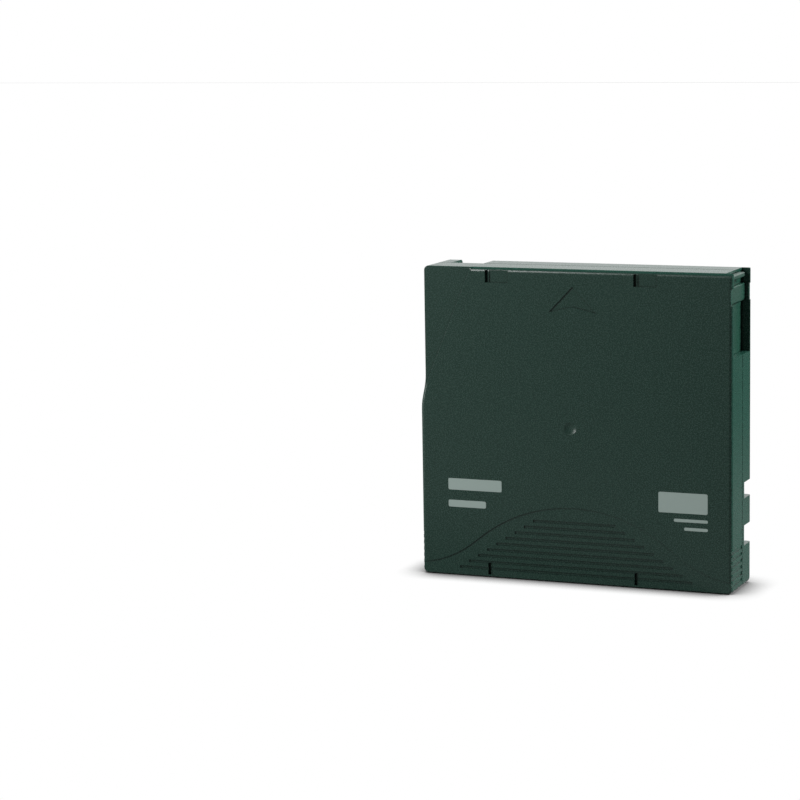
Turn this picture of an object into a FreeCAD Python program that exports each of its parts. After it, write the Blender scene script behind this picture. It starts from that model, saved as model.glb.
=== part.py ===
"""Half-inch data tape cartridge: a two-part moulded case with a sliding access door, a
write-protect slider, a leader pin, and one reel of tape held by a spring-loaded brake.

Frame: origin under the middle of the rear end, on which the cartridge stands. +Z points to
the front (insertion) end, +X to the side with the access door, and +Y out of the face with
the hub opening, so the upper face, with the insertion arrow, looks along -Y. Millimetres.
"""
import FreeCAD, Part
import math
import os

from FreeCAD import Placement, Rotation, Vector
from Sketcher import Constraint

# Each driving size: its value in millimetres (or a count), and what it is.
SIZES = {
    # case
    "case_width": (105.4, "case, side to side"),
    "case_length": (102.0, "case, rear end to front end"),
    "case_thickness": (21.5, "case, upper face to lower face"),
    "seam_level": (0.9, "parting line above mid thickness, towards the lower face"),
    "face_wall": (2.0, "wall of the two large faces"),
    "end_wall": (2.0, "wall of the front and rear ends"),
    "side_wall": (2.2, "wall of the two long sides"),
    "rear_corner_radius": (1.8, "rounding of the two upright corners at the rear end"),
    "front_corner_radius": (1.5, "rounding of the front left upright corner"),
    "door_corner_radius": (0.4, "rounding of the front right upright corner, at the door"),
    "edge_radius": (1.2, "rounding round each large face"),
    "front_edge_radius": (1.8, "rounding of the upper face's raised part at the front end"),
    "inner_radius": (1.0, "rounding of the case's upright corners inside"),
    "seam_chamfer": (0.25, "bevel of both shells at the parting line"),
    # left side guide and its sunk corner
    "guide_step": (1.5, "how far the left side steps in towards the front"),
    "guide_centre": (60.5, "middle of the step in the left side"),
    "guide_ramp": (7.0, "straight run of the step in the left side"),
    "guide_radius": (20.0, "rounding at both ends of that step"),
    "lead_depth": (0.7, "sunk corner of the upper face"),
    "lead_front": (34.6, "sunk corner's edge at the front end, left of the middle"),
    "lead_slope": (0.412, "how far that edge leans left for each millimetre rearwards"),
    "lead_draft": (25.0, "wall along that edge, degrees from upright"),
    "nose_notch_left": (45.8, "front notch of the lower shell, outer side"),
    "nose_notch_right": (34.5, "front notch of the lower shell, inner side"),
    "nose_notch_depth": (1.2, "front notch of the lower shell, depth"),
    # upper face
    "arrow_tip": (96.5, "insertion arrow's tip"),
    "arrow_length": (8.4, "insertion arrow, tip to wings"),
    "arrow_half_width": (8.1, "insertion arrow, half width"),
    "arrow_notch": (1.9, "notch in the insertion arrow's base"),
    "mark_depth": (0.3, "depth of the arrow and of the slots' pockets"),
    "slot_width": (1.1, "edge slot, width"),
    "slot_length": (4.0, "edge slot, length"),
    "slot_depth": (1.5, "edge slot, depth"),
    "slot_margin": (0.9, "edge slot, distance from the end"),
    "slot_left": (29.2, "left slots, distance left of the middle"),
    "slot_right": (20.9, "right slots, distance right of the middle"),
    "slot_pocket": (6.4, "shallow pocket beside each slot"),
    "slot_web": (0.3, "between each slot and its pocket"),
    "dimple_radius": (2.05, "gate dimple, radius"),
    "dimple_depth": (0.4, "gate dimple, depth"),
    # grip at the rear end
    "grip_pitch": (2.1, "grip grooves, pitch"),
    "grip_width": (0.9, "grip grooves, width"),
    "grip_depth": (0.3, "grip grooves below the sunk grip area"),
    "grip_first": (2.95, "first grip groove above the rear end"),
    "grip_count": (9, "grip grooves on the upper face"),
    "grip_top_half": (14.0, "half length of the topmost grip groove"),
    "grip_spread": (3.2, "how much longer each half gets, groove by groove"),
    "side_grip_count": (6, "grip grooves on each side"),
    "side_grip_width": (1.1, "side grooves, width"),
    "side_grip_depth": (0.32, "side grooves, depth"),
    # bell-shaped sunk area round the grip
    "bell_depth": (0.25, "sunk grip area, depth"),
    "bell_peak": (38.5, "where the bell's two slopes would meet, above the rear end"),
    "bell_radius": (51.0, "bell outline, radius of its crown"),
    "bell_foot_x": (42.2, "foot of each slope, from the middle"),
    "bell_foot_z": (5.6, "foot of each slope, above the rear end"),
    "bell_foot_radius": (34.0, "bell outline, radius of its feet"),
    "bell_side": (3.7, "bell outline's ends at the two sides, above the rear end"),
    # right side
    "gripper_depth": (3.0, "gripper notches, depth from the side"),
    "gripper_web": (1.8, "wall behind the gripper notches"),
    "gripper_near": (3.1, "near end of the gripper notches, across the thickness"),
    "gripper_a_low": (28.7, "upper gripper notch, lower edge"),
    "gripper_a_high": (33.9, "upper gripper notch, upper edge"),
    "gripper_b_low": (13.4, "lower gripper notch, lower edge"),
    "gripper_b_high": (19.9, "lower gripper notch, upper edge"),
    # door bay and door
    "bay_bottom": (75.4, "door bay, rear edge"),
    "bay_roof": (0.75, "front wall left above the door bay"),
    "bay_lip": (1.45, "wall left beside the door bay on the upper face"),
    "bay_far_lip": (1.65, "wall left beside the door bay on the lower face"),
    "tab_low": (91.8, "door tab, rear edge"),
    "tab_length": (5.4, "door tab, length"),
    "tab_notch_near": (0.65, "notch beside the tab in the upper shell's edge"),
    "tab_notch_far": (0.4, "notch beside the tab in the lower shell's edge"),
    "door_gap": (0.55, "door plate behind the side wall's inner face"),
    "door_plate": (1.15, "door plate, thickness"),
    "door_overlap": (5.4, "door plate behind the wall below the bay"),
    "door_tab_height": (1.1, "door tab, height over the plate"),
    "door_rib_height": (2.4, "door's front rib, height over the plate"),
    "door_rib_length": (1.4, "door's front rib, along the cartridge"),
    "door_rib_end": (4.0, "door's front rib ends here across the thickness"),
    "door_lug": (0.8, "door's spring lug, height under the plate"),
    "door_fillet": (0.3, "rounding of the door's tab and rib"),
    "door_clearance": (0.15, "sliding clearance of the door"),
    "track_depth": (0.6, "door track in both shells"),
    "door_travel": (16.2, "door, opening travel"),
    "door_spring_radius": (0.95, "door spring, mean radius"),
    "door_spring_wire": (0.35, "door spring, wire diameter"),
    "door_spring_turns": (9, "door spring, turns"),
    "door_spring_foot": (38.0, "door spring's stop above the rear end"),
    "door_spring_level": (5.4, "door spring, across the thickness"),
    "door_spring_shift": (0.2, "door spring's axis inside the middle of the door's plate"),
    "stop_thickness": (1.6, "door spring's stop and the door's lug, thickness"),
    # reel
    "reel_offset": (1.0, "reel axis, left of the middle"),
    "reel_height": (50.8, "reel axis above the rear end"),
    "flange_radius": (48.0, "reel flanges, radius"),
    "flange_wall": (1.3, "reel flanges, thickness"),
    "tape_width": (12.65, "tape width"),
    "tape_room": (0.5, "room for the tape between the flanges"),
    "pack_radius": (47.0, "wound tape, radius"),
    "pack_gap": (0.02, "wound tape clear of the hub"),
    "hub_radius": (22.0, "hub, radius under the tape"),
    "hub_wall": (2.5, "hub drum, wall"),
    "reel_drop": (0.6, "lower flange above the lower shell's inner face"),
    "reel_seat_gap": (0.1, "running gap between the reel and its seat ring"),
    "web_inner": (5.6, "hub floor's inner side, across the thickness"),
    "hub_boss_radius": (17.2, "boss in the hub opening, radius"),
    "hub_boss_inner": (12.8, "inside of the gear ring, radius"),
    "hub_boss_end": (8.9, "root of the drive teeth, across the thickness"),
    "hub_floor": (8.2, "hub floor's outer side, across the thickness"),
    "gear_teeth": (36, "drive teeth"),
    "gear_tooth_height": (1.0, "drive teeth, height"),
    "gear_tooth_width": (1.5, "drive teeth, width at the root"),
    "tooth_tip": (0.4, "share of its width that a tooth of the hub keeps at its tip"),
    "hub_opening_radius": (18.5, "hub opening in the lower shell"),
    "seat_ring_width": (2.6, "ring round the hub opening that the reel rests on"),
    "plate_radius": (9.3, "steel drive plate, radius"),
    "plate_bore": (3.0, "steel drive plate, bore radius"),
    "plate_thickness": (0.8, "steel drive plate, thickness"),
    # brake
    "brake_teeth": (24, "brake teeth"),
    "brake_tooth_height": (1.2, "brake teeth, height"),
    "brake_tooth_width": (1.5, "brake teeth, width at the root"),
    "brake_tooth_inner": (12.8, "brake teeth, inner end"),
    "brake_tooth_outer": (16.0, "brake teeth, outer end"),
    "brake_tooth_share": (0.7, "button's teeth, width as a share of the hub's teeth"),
    "brake_radius": (16.6, "brake button, radius"),
    "brake_disc": (1.4, "brake button's disc, thickness"),
    "brake_tube_radius": (6.2, "brake button's tube, radius"),
    "brake_tube_top": (4.0, "brake button's tube above mid thickness"),
    "brake_tube_floor": (1.4, "floor left under the brake button's socket"),
    "mesh_gap": (0.1, "gap between the tips and roots of meshing brake teeth"),
    "post_side": (6.0, "square post in the upper shell that stops the brake turning"),
    "post_clearance": (0.15, "post in the brake button's socket, each side"),
    "post_end": (0.2, "post's end below mid thickness"),
    "brake_spring_radius": (8.6, "brake spring, mean radius"),
    "brake_spring_wire": (1.0, "brake spring, wire diameter"),
    "brake_spring_turns": (4, "brake spring, turns"),
    "spring_ring_width": (0.9, "ring round the brake spring's seat, wall"),
    "spring_ring_height": (1.0, "ring round the brake spring's seat, height"),
    "pad_radius": (12.2, "release pad's disc, radius"),
    "pad_disc": (1.1, "release pad's disc, thickness"),
    "leg_circle": (11.0, "release pad's legs, distance from the axis"),
    "leg_radius": (1.1, "release pad's legs, radius"),
    "leg_clearance": (0.15, "release pad's legs in the hub floor"),
    "leg_end": (9.3, "release pad's legs end here, across the thickness"),
    "leg_count": (3, "release pad's legs"),
    # leader pin
    "pin_x": (44.5, "leader pin, right of the middle"),
    "pin_front": (11.0, "leader pin behind the front end"),
    "pin_head_radius": (2.3, "leader pin's heads, radius"),
    "pin_head": (1.9, "leader pin's heads, length"),
    "pin_radius": (1.25, "leader pin, radius of its shank"),
    "pin_pocket": (0.8, "pockets for the pin in both shells, depth"),
    "pin_end_gap": (0.1, "pin's ends in their pockets"),
    "pin_side_gap": (0.25, "pin's heads in their pockets"),
    "clamp_radius": (2.1, "pin clamp, outer radius"),
    "clamp_slit": (0.8, "pin clamp, slit for the tape"),
    "clamp_gap": (0.03, "pin clamp round the shank"),
    "leader_thickness": (0.15, "tape leader, thickness as modelled"),
    "wire_radius": (0.3, "pin retaining springs, wire radius"),
    "wire_level": (0.5, "pin retaining springs below the shell's inner face"),
    "wire_gap": (0.05, "pin retaining springs clear of the pin's heads"),
    "wire_run": (8.0, "pin retaining springs, start left of the pin"),
    "wire_flare": (0.5, "pin retaining springs, bow either side of the pin"),
    "wire_reach": (3.2, "pin retaining springs, reach along the case either side of the pin"),
    "wire_bend": (1.1, "pin retaining springs, bend radius"),
    # write-protect slider
    "slide_left": (49.9, "write-protect slider's outer end"),
    "slide_length": (7.8, "write-protect slider, length"),
    "slide_travel": (6.4, "write-protect slider, travel"),
    "slide_thickness": (2.0, "write-protect slider, thickness"),
    "slide_near": (2.0, "write-protect slider's near edge, across the thickness"),
    "slide_gap": (0.08, "write-protect slider, clearance"),
    "thumb_level": (0.5, "thumb piece's face, inside the rear end"),
    "ridge_pitch": (1.2, "thumb piece's grooves, pitch"),
    "ridge_width": (0.5, "thumb piece's grooves, width"),
    "ridge_depth": (0.3, "thumb piece's grooves, depth"),
    "thumb_width": (4.0, "write-protect thumb piece, width"),
    "thumb_near": (3.2, "write-protect thumb piece, near edge"),
    "thumb_far": (6.8, "write-protect thumb piece, far edge"),
    "window_gap": (0.3, "round the thumb piece in its window"),
    # label recess
    "label_left": (35.5, "label recess, left of the middle"),
    "label_width": (79.0, "label recess, width"),
    "label_height": (17.0, "label recess, across the thickness"),
    "label_depth": (0.35, "label recess, depth"),
    # memory board
    "board_size": (11.0, "memory board, along the corner"),
    "board_height": (10.4, "memory board, across the thickness"),
    "board_thickness": (0.8, "memory board, thickness"),
    "board_x": (46.2, "memory board's centre, right of the middle"),
    "board_z": (6.3, "memory board's centre above the rear end"),
    "board_rib": (1.0, "ribs that hold the memory board, thickness"),
    "board_rib_in": (1.2, "those ribs' reach over the board"),
    "board_rib_out": (0.6, "those ribs' reach past the board's ends"),
    "board_rib_share": (0.6, "share of the board's height that those ribs hold"),
    "chip_size": (4.2, "memory chip, side"),
    "chip_thickness": (0.9, "memory chip, thickness"),
    # screws and datum holes
    "screw_left": (46.0, "left front screw, left of the middle"),
    "screw_front": (6.4, "front screws, behind the front end"),
    "screw_right": (38.0, "right front screw, right of the middle"),
    "screw_rear_x": (33.0, "rear screws, from the middle"),
    "screw_rear": (6.4, "rear screws above the rear end"),
    "screw_radius": (1.2, "case screws, radius"),
    "screw_head_radius": (2.3, "case screws, head radius"),
    "screw_head": (1.6, "case screws, head height"),
    "screw_length": (9.0, "case screws, length under the head"),
    "screw_clearance": (0.1, "case screws in the lower shell"),
    "screw_sunk": (0.4, "screw heads below the lower face"),
    "screw_slack": (0.02, "screws in their pilot holes"),
    "pilot_over": (0.5, "pilot holes, deeper than the screws"),
    "boss_radius": (3.2, "screw bosses in the lower shell, radius"),
    "upper_boss_radius": (2.6, "screw bosses in the upper shell, radius"),
    "datum_radius": (1.5, "datum holes in the lower shell, radius"),
    "datum_depth": (4.0, "datum holes, depth"),
    "datum_wall": (1.2, "bosses round the datum holes, wall"),
    "datum_left": (33.0, "round datum hole, left of the middle"),
    "datum_right": (27.5, "slotted datum hole, right of the middle"),
    "datum_front": (5.8, "datum holes behind the front end"),
    "datum_slot": (2.0, "slotted datum hole, distance between its arcs' centres"),
    # guard ribs round the reel
    "guard_gap": (0.9, "guard ribs, clear of the flanges"),
    "guard_wall": (1.1, "guard ribs, thickness"),
    "guard_height": (6.2, "guard ribs, height over the shell's inner face"),
    "guard_half_angle": (13.0, "guard ribs, half of the angle they span, degrees"),
    # shared by many features
    "beyond": (1.0, "how far cutters and bases reach past a surface"),
    "sunk": (0.2, "how deep an added piece starts inside the one that carries it"),
    "round_short": (0.05, "how far a nearly round end stops short of a half circle"),
}


class Size:
    """A length with its value in millimetres and the sheet formula that it comes from."""

    def __init__(self, value, formula):
        self.value = float(value)
        self.formula = formula

    @staticmethod
    def of(thing):
        """A plain number as a size, or the size itself."""
        return thing if isinstance(thing, Size) else Size(thing, repr(float(thing)))

    def __add__(self, other):
        other = Size.of(other)
        return Size(self.value + other.value, f"({self.formula} + {other.formula})")

    def __radd__(self, other):
        return Size.of(other) + self

    def __sub__(self, other):
        other = Size.of(other)
        return Size(self.value - other.value, f"({self.formula} - {other.formula})")

    def __rsub__(self, other):
        return Size.of(other) - self

    def __mul__(self, other):
        other = Size.of(other)
        return Size(self.value * other.value, f"({self.formula} * {other.formula})")

    def __rmul__(self, other):
        return Size.of(other) * self

    def __truediv__(self, other):
        other = Size.of(other)
        return Size(self.value / other.value, f"({self.formula} / {other.formula})")

    def __neg__(self):
        return Size(-self.value, f"(-{self.formula})")

    def __float__(self):
        return self.value


class Sheet:
    """The document's spreadsheet, whose cells are read as sizes by their aliases."""

    def __init__(self, document):
        self.cells = document.addObject("Spreadsheet::Sheet", "Sizes")
        for row, (alias, (value, meaning)) in enumerate(SIZES.items(), start=1):
            self.cells.set(f"A{row}", alias)
            self.cells.set(f"B{row}", str(value))
            self.cells.set(f"C{row}", meaning)
            self.cells.setAlias(f"B{row}", alias)
        document.recompute()

    def __getattr__(self, alias):
        return Size(getattr(self.cells, alias), f"Sizes.{alias}")


doc = FreeCAD.newDocument("tape_cartridge")
S = Sheet(doc)

# Planes that several pieces share.
HALF_WIDTH = S.case_width / 2
FACE = -S.case_thickness / 2
BACK = S.case_thickness / 2
FACE_INNER = FACE + S.face_wall
BACK_INNER = BACK - S.face_wall
RIGHT_INNER = HALF_WIDTH - S.side_wall
FRONT_INNER = S.case_length - S.end_wall
REEL_X = -S.reel_offset
LOWER_FLANGE_OUTER = BACK_INNER - S.reel_drop
LOWER_FLANGE_INNER = LOWER_FLANGE_OUTER - S.flange_wall
UPPER_FLANGE_INNER = LOWER_FLANGE_INNER - S.tape_width - S.tape_room
UPPER_FLANGE_OUTER = UPPER_FLANGE_INNER - S.flange_wall
TAPE_LOW = UPPER_FLANGE_INNER + S.tape_room / 2
TAPE_HIGH = TAPE_LOW + S.tape_width
DOOR_OUTER = RIGHT_INNER - S.door_gap
DOOR_INNER = DOOR_OUTER - S.door_plate
BAY_ROOF = S.case_length - S.bay_roof
PIN_Z = S.case_length - S.pin_front
BRAKE_TOOTH_ROOT = S.web_inner - S.brake_tooth_height - S.mesh_gap
SCREWS = (
    (-S.screw_left, S.case_length - S.screw_front),
    (S.screw_right, S.case_length - S.screw_front),
    (-S.screw_rear_x, S.screw_rear),
    (S.screw_rear_x, S.screw_rear),
)

NORMAL_SIGN = {"XY_Plane": 1, "XZ_Plane": -1, "YZ_Plane": 1}
AXIS_ROTATION = Rotation(Vector(1, 0, 0), -90)
BOARD_TURN = 45.0
UPPER_GUARDS = (-135, 135, -45)
LOWER_GUARDS = (-135, 135)


def bind(thing, name, size):
    """Tie one property of an object to the sheet."""
    thing.setExpression(name, Size.of(size).formula)


def new_body(label):
    """Start a sub-part as a body of its own."""
    body = doc.addObject("PartDesign::Body", label)
    body.Label = label
    return body


def turned_body(label):
    """Start a sub-part whose own Z axis is the reel's axis, pointing along the case's +Y."""
    body = new_body(label)
    place_on_reel_axis(body)
    return body


def place_on_reel_axis(thing):
    """Put an object's own Z axis on the reel's axis."""
    thing.Placement = Placement(Vector(0, 0, 0), AXIS_ROTATION)
    bind(thing, "Placement.Base.x", REEL_X)
    bind(thing, "Placement.Base.z", S.reel_height)


class Drawing:
    """A sketch on one of a body's own planes, with every point tied to the sheet."""

    def __init__(self, body, role, level=0.0, origin=(0.0, 0.0), turn=0.0):
        """Lay the sketch at a level across its plane, with its origin moved in the plane."""
        self.body = body
        self.sign = NORMAL_SIGN[role]
        self.sketch = body.newObject("Sketcher::SketchObject", body.Name + "_drawing")
        plane = next(item for item in body.Origin.OriginFeatures if item.Role == role)
        self.sketch.AttachmentSupport = [(plane, "")]
        self.sketch.MapMode = "FlatFace"
        self.sketch.AttachmentOffset = Placement(Vector(0, 0, 0), Rotation(Vector(0, 0, 1), turn))
        self.level = Size.of(level)
        bind(self.sketch, "AttachmentOffset.Base.x", origin[0])
        bind(self.sketch, "AttachmentOffset.Base.y", origin[1])
        bind(self.sketch, "AttachmentOffset.Base.z", self.level * self.sign)

    def hold(self, kind, *items):
        """Add a constraint whose last item is its size."""
        size = Size.of(items[-1])
        index = self.sketch.addConstraint(Constraint(kind, *items[:-1], size.value))
        bind(self.sketch, f"Constraints[{index}]", size)

    def join(self, kind, *items):
        """Add a constraint that has no size."""
        self.sketch.addConstraint(Constraint(kind, *items))

    def pin_point(self, geometry, end, x, y):
        """Hold one point of the sketch at its place."""
        self.hold("DistanceX", -1, 1, geometry, end, x)
        self.hold("DistanceY", -1, 1, geometry, end, y)

    def disc(self, x, y, radius):
        """Draw a circle."""
        centre = Vector(float(x), float(y), 0)
        circle = Part.Circle(centre, Vector(0, 0, 1), float(radius))
        index = self.sketch.addGeometry(circle)
        self.hold("Radius", index, radius)
        self.pin_point(index, 3, x, y)
        return self

    def rectangle(self, left, bottom, right, top):
        """Draw an upright rectangle between four lines."""
        return self.outline((left, bottom), (right, bottom), (right, top), (left, top))

    def outline(self, *corners):
        """Draw a closed outline; a corner with a third value is rounded to that radius."""
        self.chain(corners, closed=True)
        return self

    def path(self, *corners):
        """Draw an open path; a corner with a third value is rounded to that radius."""
        self.chain(corners, closed=False)
        return self

    def chain(self, corners, closed):
        """Draw lines from corner to corner, with an arc where a corner has a radius."""
        points = [Vector(float(corner[0]), float(corner[1]), 0) for corner in corners]
        count = len(corners)
        spans = count if closed else count - 1
        arcs = {}
        starts = list(points)
        ends = [points[(index + 1) % count] for index in range(count)]
        for index, corner in enumerate(corners):
            if len(corner) < 3:
                continue
            arc = tangent_arc(points[index - 1], points[index], points[(index + 1) % count], corner[2])
            arcs[index] = arc
            ends[(index - 1) % count] = arc[0]
            starts[index] = arc[2]
        lines = [
            self.sketch.addGeometry(Part.LineSegment(starts[index], ends[index]))
            for index in range(spans)
        ]
        for index, corner in enumerate(corners):
            before = lines[(index - 1) % spans] if closed or index > 0 else None
            after = lines[index] if index < spans else None
            if index in arcs:
                self.round_corner(before, after, corner, arcs[index])
            elif before is None:
                self.pin_point(after, 1, corner[0], corner[1])
            elif after is None:
                self.pin_point(before, 2, corner[0], corner[1])
            else:
                self.join("Coincident", before, 2, after, 1)
                self.pin_point(after, 1, corner[0], corner[1])

    def round_corner(self, before, after, corner, arc):
        """Put a tangent arc between two lines that would meet at a corner."""
        start, centre, end = arc
        radius = float(corner[2])
        angles = [math.atan2(point.y - centre.y, point.x - centre.x) for point in (start, end)]
        leftwards = (start - centre).cross(end - centre).z > 0
        low, high = angles if leftwards else reversed(angles)
        if high < low:
            high += 2 * math.pi
        circle = Part.Circle(centre, Vector(0, 0, 1), radius)
        index = self.sketch.addGeometry(Part.ArcOfCircle(circle, low, high))
        first = 1 if leftwards else 2
        self.join("Tangent", before, 2, index, first)
        self.join("Tangent", index, 3 - first, after, 1)
        self.hold("Radius", index, corner[2])
        vertex = self.sketch.addGeometry(Part.Point(Vector(float(corner[0]), float(corner[1]), 0)), True)
        self.join("PointOnObject", vertex, 1, before)
        self.join("PointOnObject", vertex, 1, after)
        self.pin_point(vertex, 1, corner[0], corner[1])


def tangent_arc(before, corner, after, radius):
    """Start, centre and end of the arc that rounds a corner."""
    inward = (before - corner).normalize()
    outward = (after - corner).normalize()
    half = inward.getAngle(outward) / 2
    reach = float(radius) / math.tan(half)
    bisector = (inward + outward).normalize()
    centre = corner + bisector * (float(radius) / math.sin(half))
    return corner + inward * reach, centre, corner + outward * reach


def extrude(kind, drawing, end):
    """Pad or pocket a drawing from its own level to another one."""
    feature = drawing.body.newObject("PartDesign::" + kind, drawing.body.Name + "_" + kind.lower())
    feature.Profile = drawing.sketch
    drawing.sketch.Visibility = False
    run = Size.of(end) - drawing.level
    bind(feature, "Length", run if run.value > 0 else -run)
    along_normal = run.value * drawing.sign > 0
    feature.Reversed = along_normal if kind == "Pocket" else not along_normal
    drawing.body.Tip = feature
    return feature


def pad(drawing, end):
    """Add material from a drawing's level to another level."""
    return extrude("Pad", drawing, end)


def cut(drawing, end):
    """Take material away from a drawing's level to another level."""
    return extrude("Pocket", drawing, end)


def revolve(drawing):
    """Turn a profile once round the body's own Z axis."""
    feature = drawing.body.newObject("PartDesign::Revolution", drawing.body.Name + "_turning")
    feature.Profile = drawing.sketch
    feature.ReferenceAxis = (drawing.sketch, ["V_Axis"])
    feature.Angle = 360
    drawing.body.Tip = feature
    return feature


def ring_of(feature, count):
    """Repeat a feature evenly round its sketch's body's Z axis."""
    body = feature.getParentGeoFeatureGroup()
    pattern = body.newObject("PartDesign::PolarPattern", body.Name + "_ring")
    pattern.Originals = [feature]
    axis = next(item for item in body.Origin.OriginFeatures if item.Role == "Z_Axis")
    pattern.Axis = (axis, [""])
    pattern.Angle = 360
    pattern.setExpression("Occurrences", count.formula)
    body.Tip = pattern
    return pattern


def row_of(feature, drawing, pitch, count):
    """Repeat a feature upwards along its drawing's vertical axis."""
    pattern = drawing.body.newObject("PartDesign::LinearPattern", drawing.body.Name + "_row")
    pattern.Originals = [feature]
    pattern.Direction = (drawing.sketch, ["V_Axis"])
    pattern.Mode = "Spacing"
    bind(pattern, "Offset", pitch)
    pattern.setExpression("Occurrences", count.formula)
    drawing.body.Tip = pattern
    return pattern


def soften(body, kind, size, chooses):
    """Fillet or chamfer every edge of a body that the given test chooses."""
    doc.recompute()
    base = body.Tip
    names = [
        f"Edge{index}"
        for index, edge in enumerate(base.Shape.Edges, start=1)
        if chooses(edge)
    ]
    feature = body.newObject("PartDesign::" + kind, body.Name + "_" + kind.lower())
    feature.Base = (base, names)
    bind(feature, "Radius" if kind == "Fillet" else "Size", size)
    body.Tip = feature
    return feature


def lies_at(level):
    """A test for edges that lie wholly at one level across the thickness."""
    def test(edge):
        box = edge.BoundBox
        return abs(box.YMin - float(level)) < 0.001 and abs(box.YMax - float(level)) < 0.001
    return test


def union(label, pieces):
    """Join a base and the pieces on it."""
    fusion = doc.addObject("Part::MultiFuse", label)
    fusion.Label = label
    fusion.Shapes = pieces
    return fusion


def minus(label, base, tools):
    """Cut tools out of a base."""
    gathered = tools[0]
    if len(tools) > 1:
        gathered = union(label + "_cutters", tools)
    difference = doc.addObject("Part::Cut", label)
    difference.Label = label
    difference.Base = base
    difference.Tool = gathered
    return difference


# ---------------------------------------------------------------- features of both shells

def case_corners(side_inset, end_inset, rear, front, door=()):
    """The case's outline, with the step in its left side, moved in by a wall.

    The rear corners and the front left one are rounded; the one at the door is sharp
    unless a tuple with its radius is given.
    """
    left = -HALF_WIDTH + side_inset
    right = HALF_WIDTH - side_inset
    top = S.case_length - end_inset
    bottom = Size.of(0) + end_inset
    ramp_low = S.guide_centre - S.guide_ramp / 2
    ramp_high = S.guide_centre + S.guide_ramp / 2
    return (
        (left, bottom, rear),
        (right, bottom, rear),
        (right, top, *door),
        (left + S.guide_step, top, front),
        (left + S.guide_step, ramp_high, S.guide_radius),
        (left, ramp_low, S.guide_radius),
    )


def shell_block(label, outer, inner):
    """One half of the case, rounded at its large face and hollowed from the seam."""
    body = new_body(label)
    block = Drawing(body, "XZ_Plane", S.seam_level)
    block.outline(*case_corners(0.0, 0.0, S.rear_corner_radius, S.front_corner_radius))
    pad(block, outer)
    soften(body, "Fillet", S.edge_radius, lies_at(outer))
    soften(body, "Chamfer", S.seam_chamfer, lies_at(S.seam_level))
    hollow = Drawing(body, "XZ_Plane", S.seam_level)
    inside = S.inner_radius
    hollow.outline(*case_corners(S.side_wall, S.end_wall, inside, inside, (inside,)))
    cut(hollow, inner)
    corner = Drawing(body, "XZ_Plane", S.seam_level)
    waste_outside(corner, HALF_WIDTH, 1, S.door_corner_radius)
    cut(corner, outer)
    return body


def waste_outside(drawing, x, side, radius):
    """Draw what a rounding takes off the corner at the front end's plane.

    The corner lies at x in the drawing and looks to its right (side 1) or left (side -1).
    """
    top = S.case_length
    reach = radius + S.beyond
    drawing.outline(
        (x - reach * side, top),
        (x, top, radius),
        (x, top - reach),
        (x + S.beyond * side, top - reach),
        (x + S.beyond * side, top + S.beyond),
        (x - reach * side, top + S.beyond),
    )


def door_bay(body, lip_level, inner, notch):
    """Open the front right corner of a shell for the door, with its track and tab notch."""
    start = S.seam_level
    bay = Drawing(body, "XZ_Plane", start)
    bay.outline(
        (DOOR_INNER - S.door_clearance, S.bay_bottom),
        (HALF_WIDTH + S.beyond, S.bay_bottom),
        (HALF_WIDTH + S.beyond, S.case_length + S.beyond),
        (DOOR_OUTER + S.door_clearance, S.case_length + S.beyond),
        (DOOR_OUTER + S.door_clearance, BAY_ROOF),
        (DOOR_INNER - S.door_clearance, BAY_ROOF),
    )
    cut(bay, lip_level)
    track = Drawing(body, "XZ_Plane", inner)
    track.rectangle(
        DOOR_INNER - S.door_clearance,
        S.bay_bottom - S.door_overlap - S.door_travel - S.door_clearance,
        DOOR_OUTER + S.door_clearance,
        BAY_ROOF,
    )
    outward = 1 if lip_level.value > 0 else -1
    cut(track, inner + S.track_depth * outward)
    tab = Drawing(body, "XZ_Plane", start)
    tab.rectangle(
        HALF_WIDTH - notch,
        S.tab_low,
        HALF_WIDTH + S.beyond,
        S.tab_low + S.tab_length,
    )
    cut(tab, start + (S.case_thickness * outward))
    pocket = Drawing(body, "XZ_Plane", inner)
    half = S.pin_head_radius + S.pin_side_gap
    round_end = half - S.round_short
    pocket.outline(
        (S.pin_x - half, PIN_Z - half, round_end),
        (DOOR_INNER, PIN_Z - half),
        (DOOR_INNER, PIN_Z + half),
        (S.pin_x - half, PIN_Z + half, round_end),
    )
    cut(pocket, inner + S.pin_pocket * outward)


def guard_ribs(body, inner, corners):
    """Curved ribs in the case's corners that keep the reel from rattling about."""
    inside = S.flange_radius + S.guard_gap
    outside = inside + S.guard_wall
    inward = 1 if inner.value < 0 else -1
    for turn in corners:
        rib = Drawing(body, "XZ_Plane", inner, (REEL_X, S.reel_height), turn)
        arc_band(rib, inside, outside, S.guard_half_angle.value)
        pad(rib, inner + S.guard_height * inward)


def arc_band(drawing, inside, outside, half_angle):
    """Draw a band between two arcs round the sketch's origin, either side of its X axis."""
    sketch = drawing.sketch
    angle = math.radians(half_angle)
    circles = []
    for radius in (inside, outside):
        circle = Part.Circle(Vector(0, 0, 0), Vector(0, 0, 1), float(radius))
        circles.append(sketch.addGeometry(Part.ArcOfCircle(circle, -angle, angle)))
    inner_arc, outer_arc = circles
    ends = []
    for side in (-1, 1):
        ray = Vector(math.cos(angle), side * math.sin(angle), 0)
        ends.append(sketch.addGeometry(Part.LineSegment(ray * float(inside), ray * float(outside))))
    for index, radius in zip(circles, (inside, outside)):
        drawing.join("Coincident", index, 3, -1, 1)
        drawing.hold("Radius", index, radius)
    for point, line in ((1, ends[0]), (2, ends[1])):
        drawing.join("Coincident", line, 1, inner_arc, point)
        drawing.join("Coincident", line, 2, outer_arc, point)
        drawing.join("PointOnObject", -1, 1, line)
    drawing.join("Symmetric", inner_arc, 1, inner_arc, 2, -1)
    drawing.hold("DistanceX", -1, 1, inner_arc, 1, inside * math.cos(angle))


# ---------------------------------------------------------------- upper shell

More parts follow.
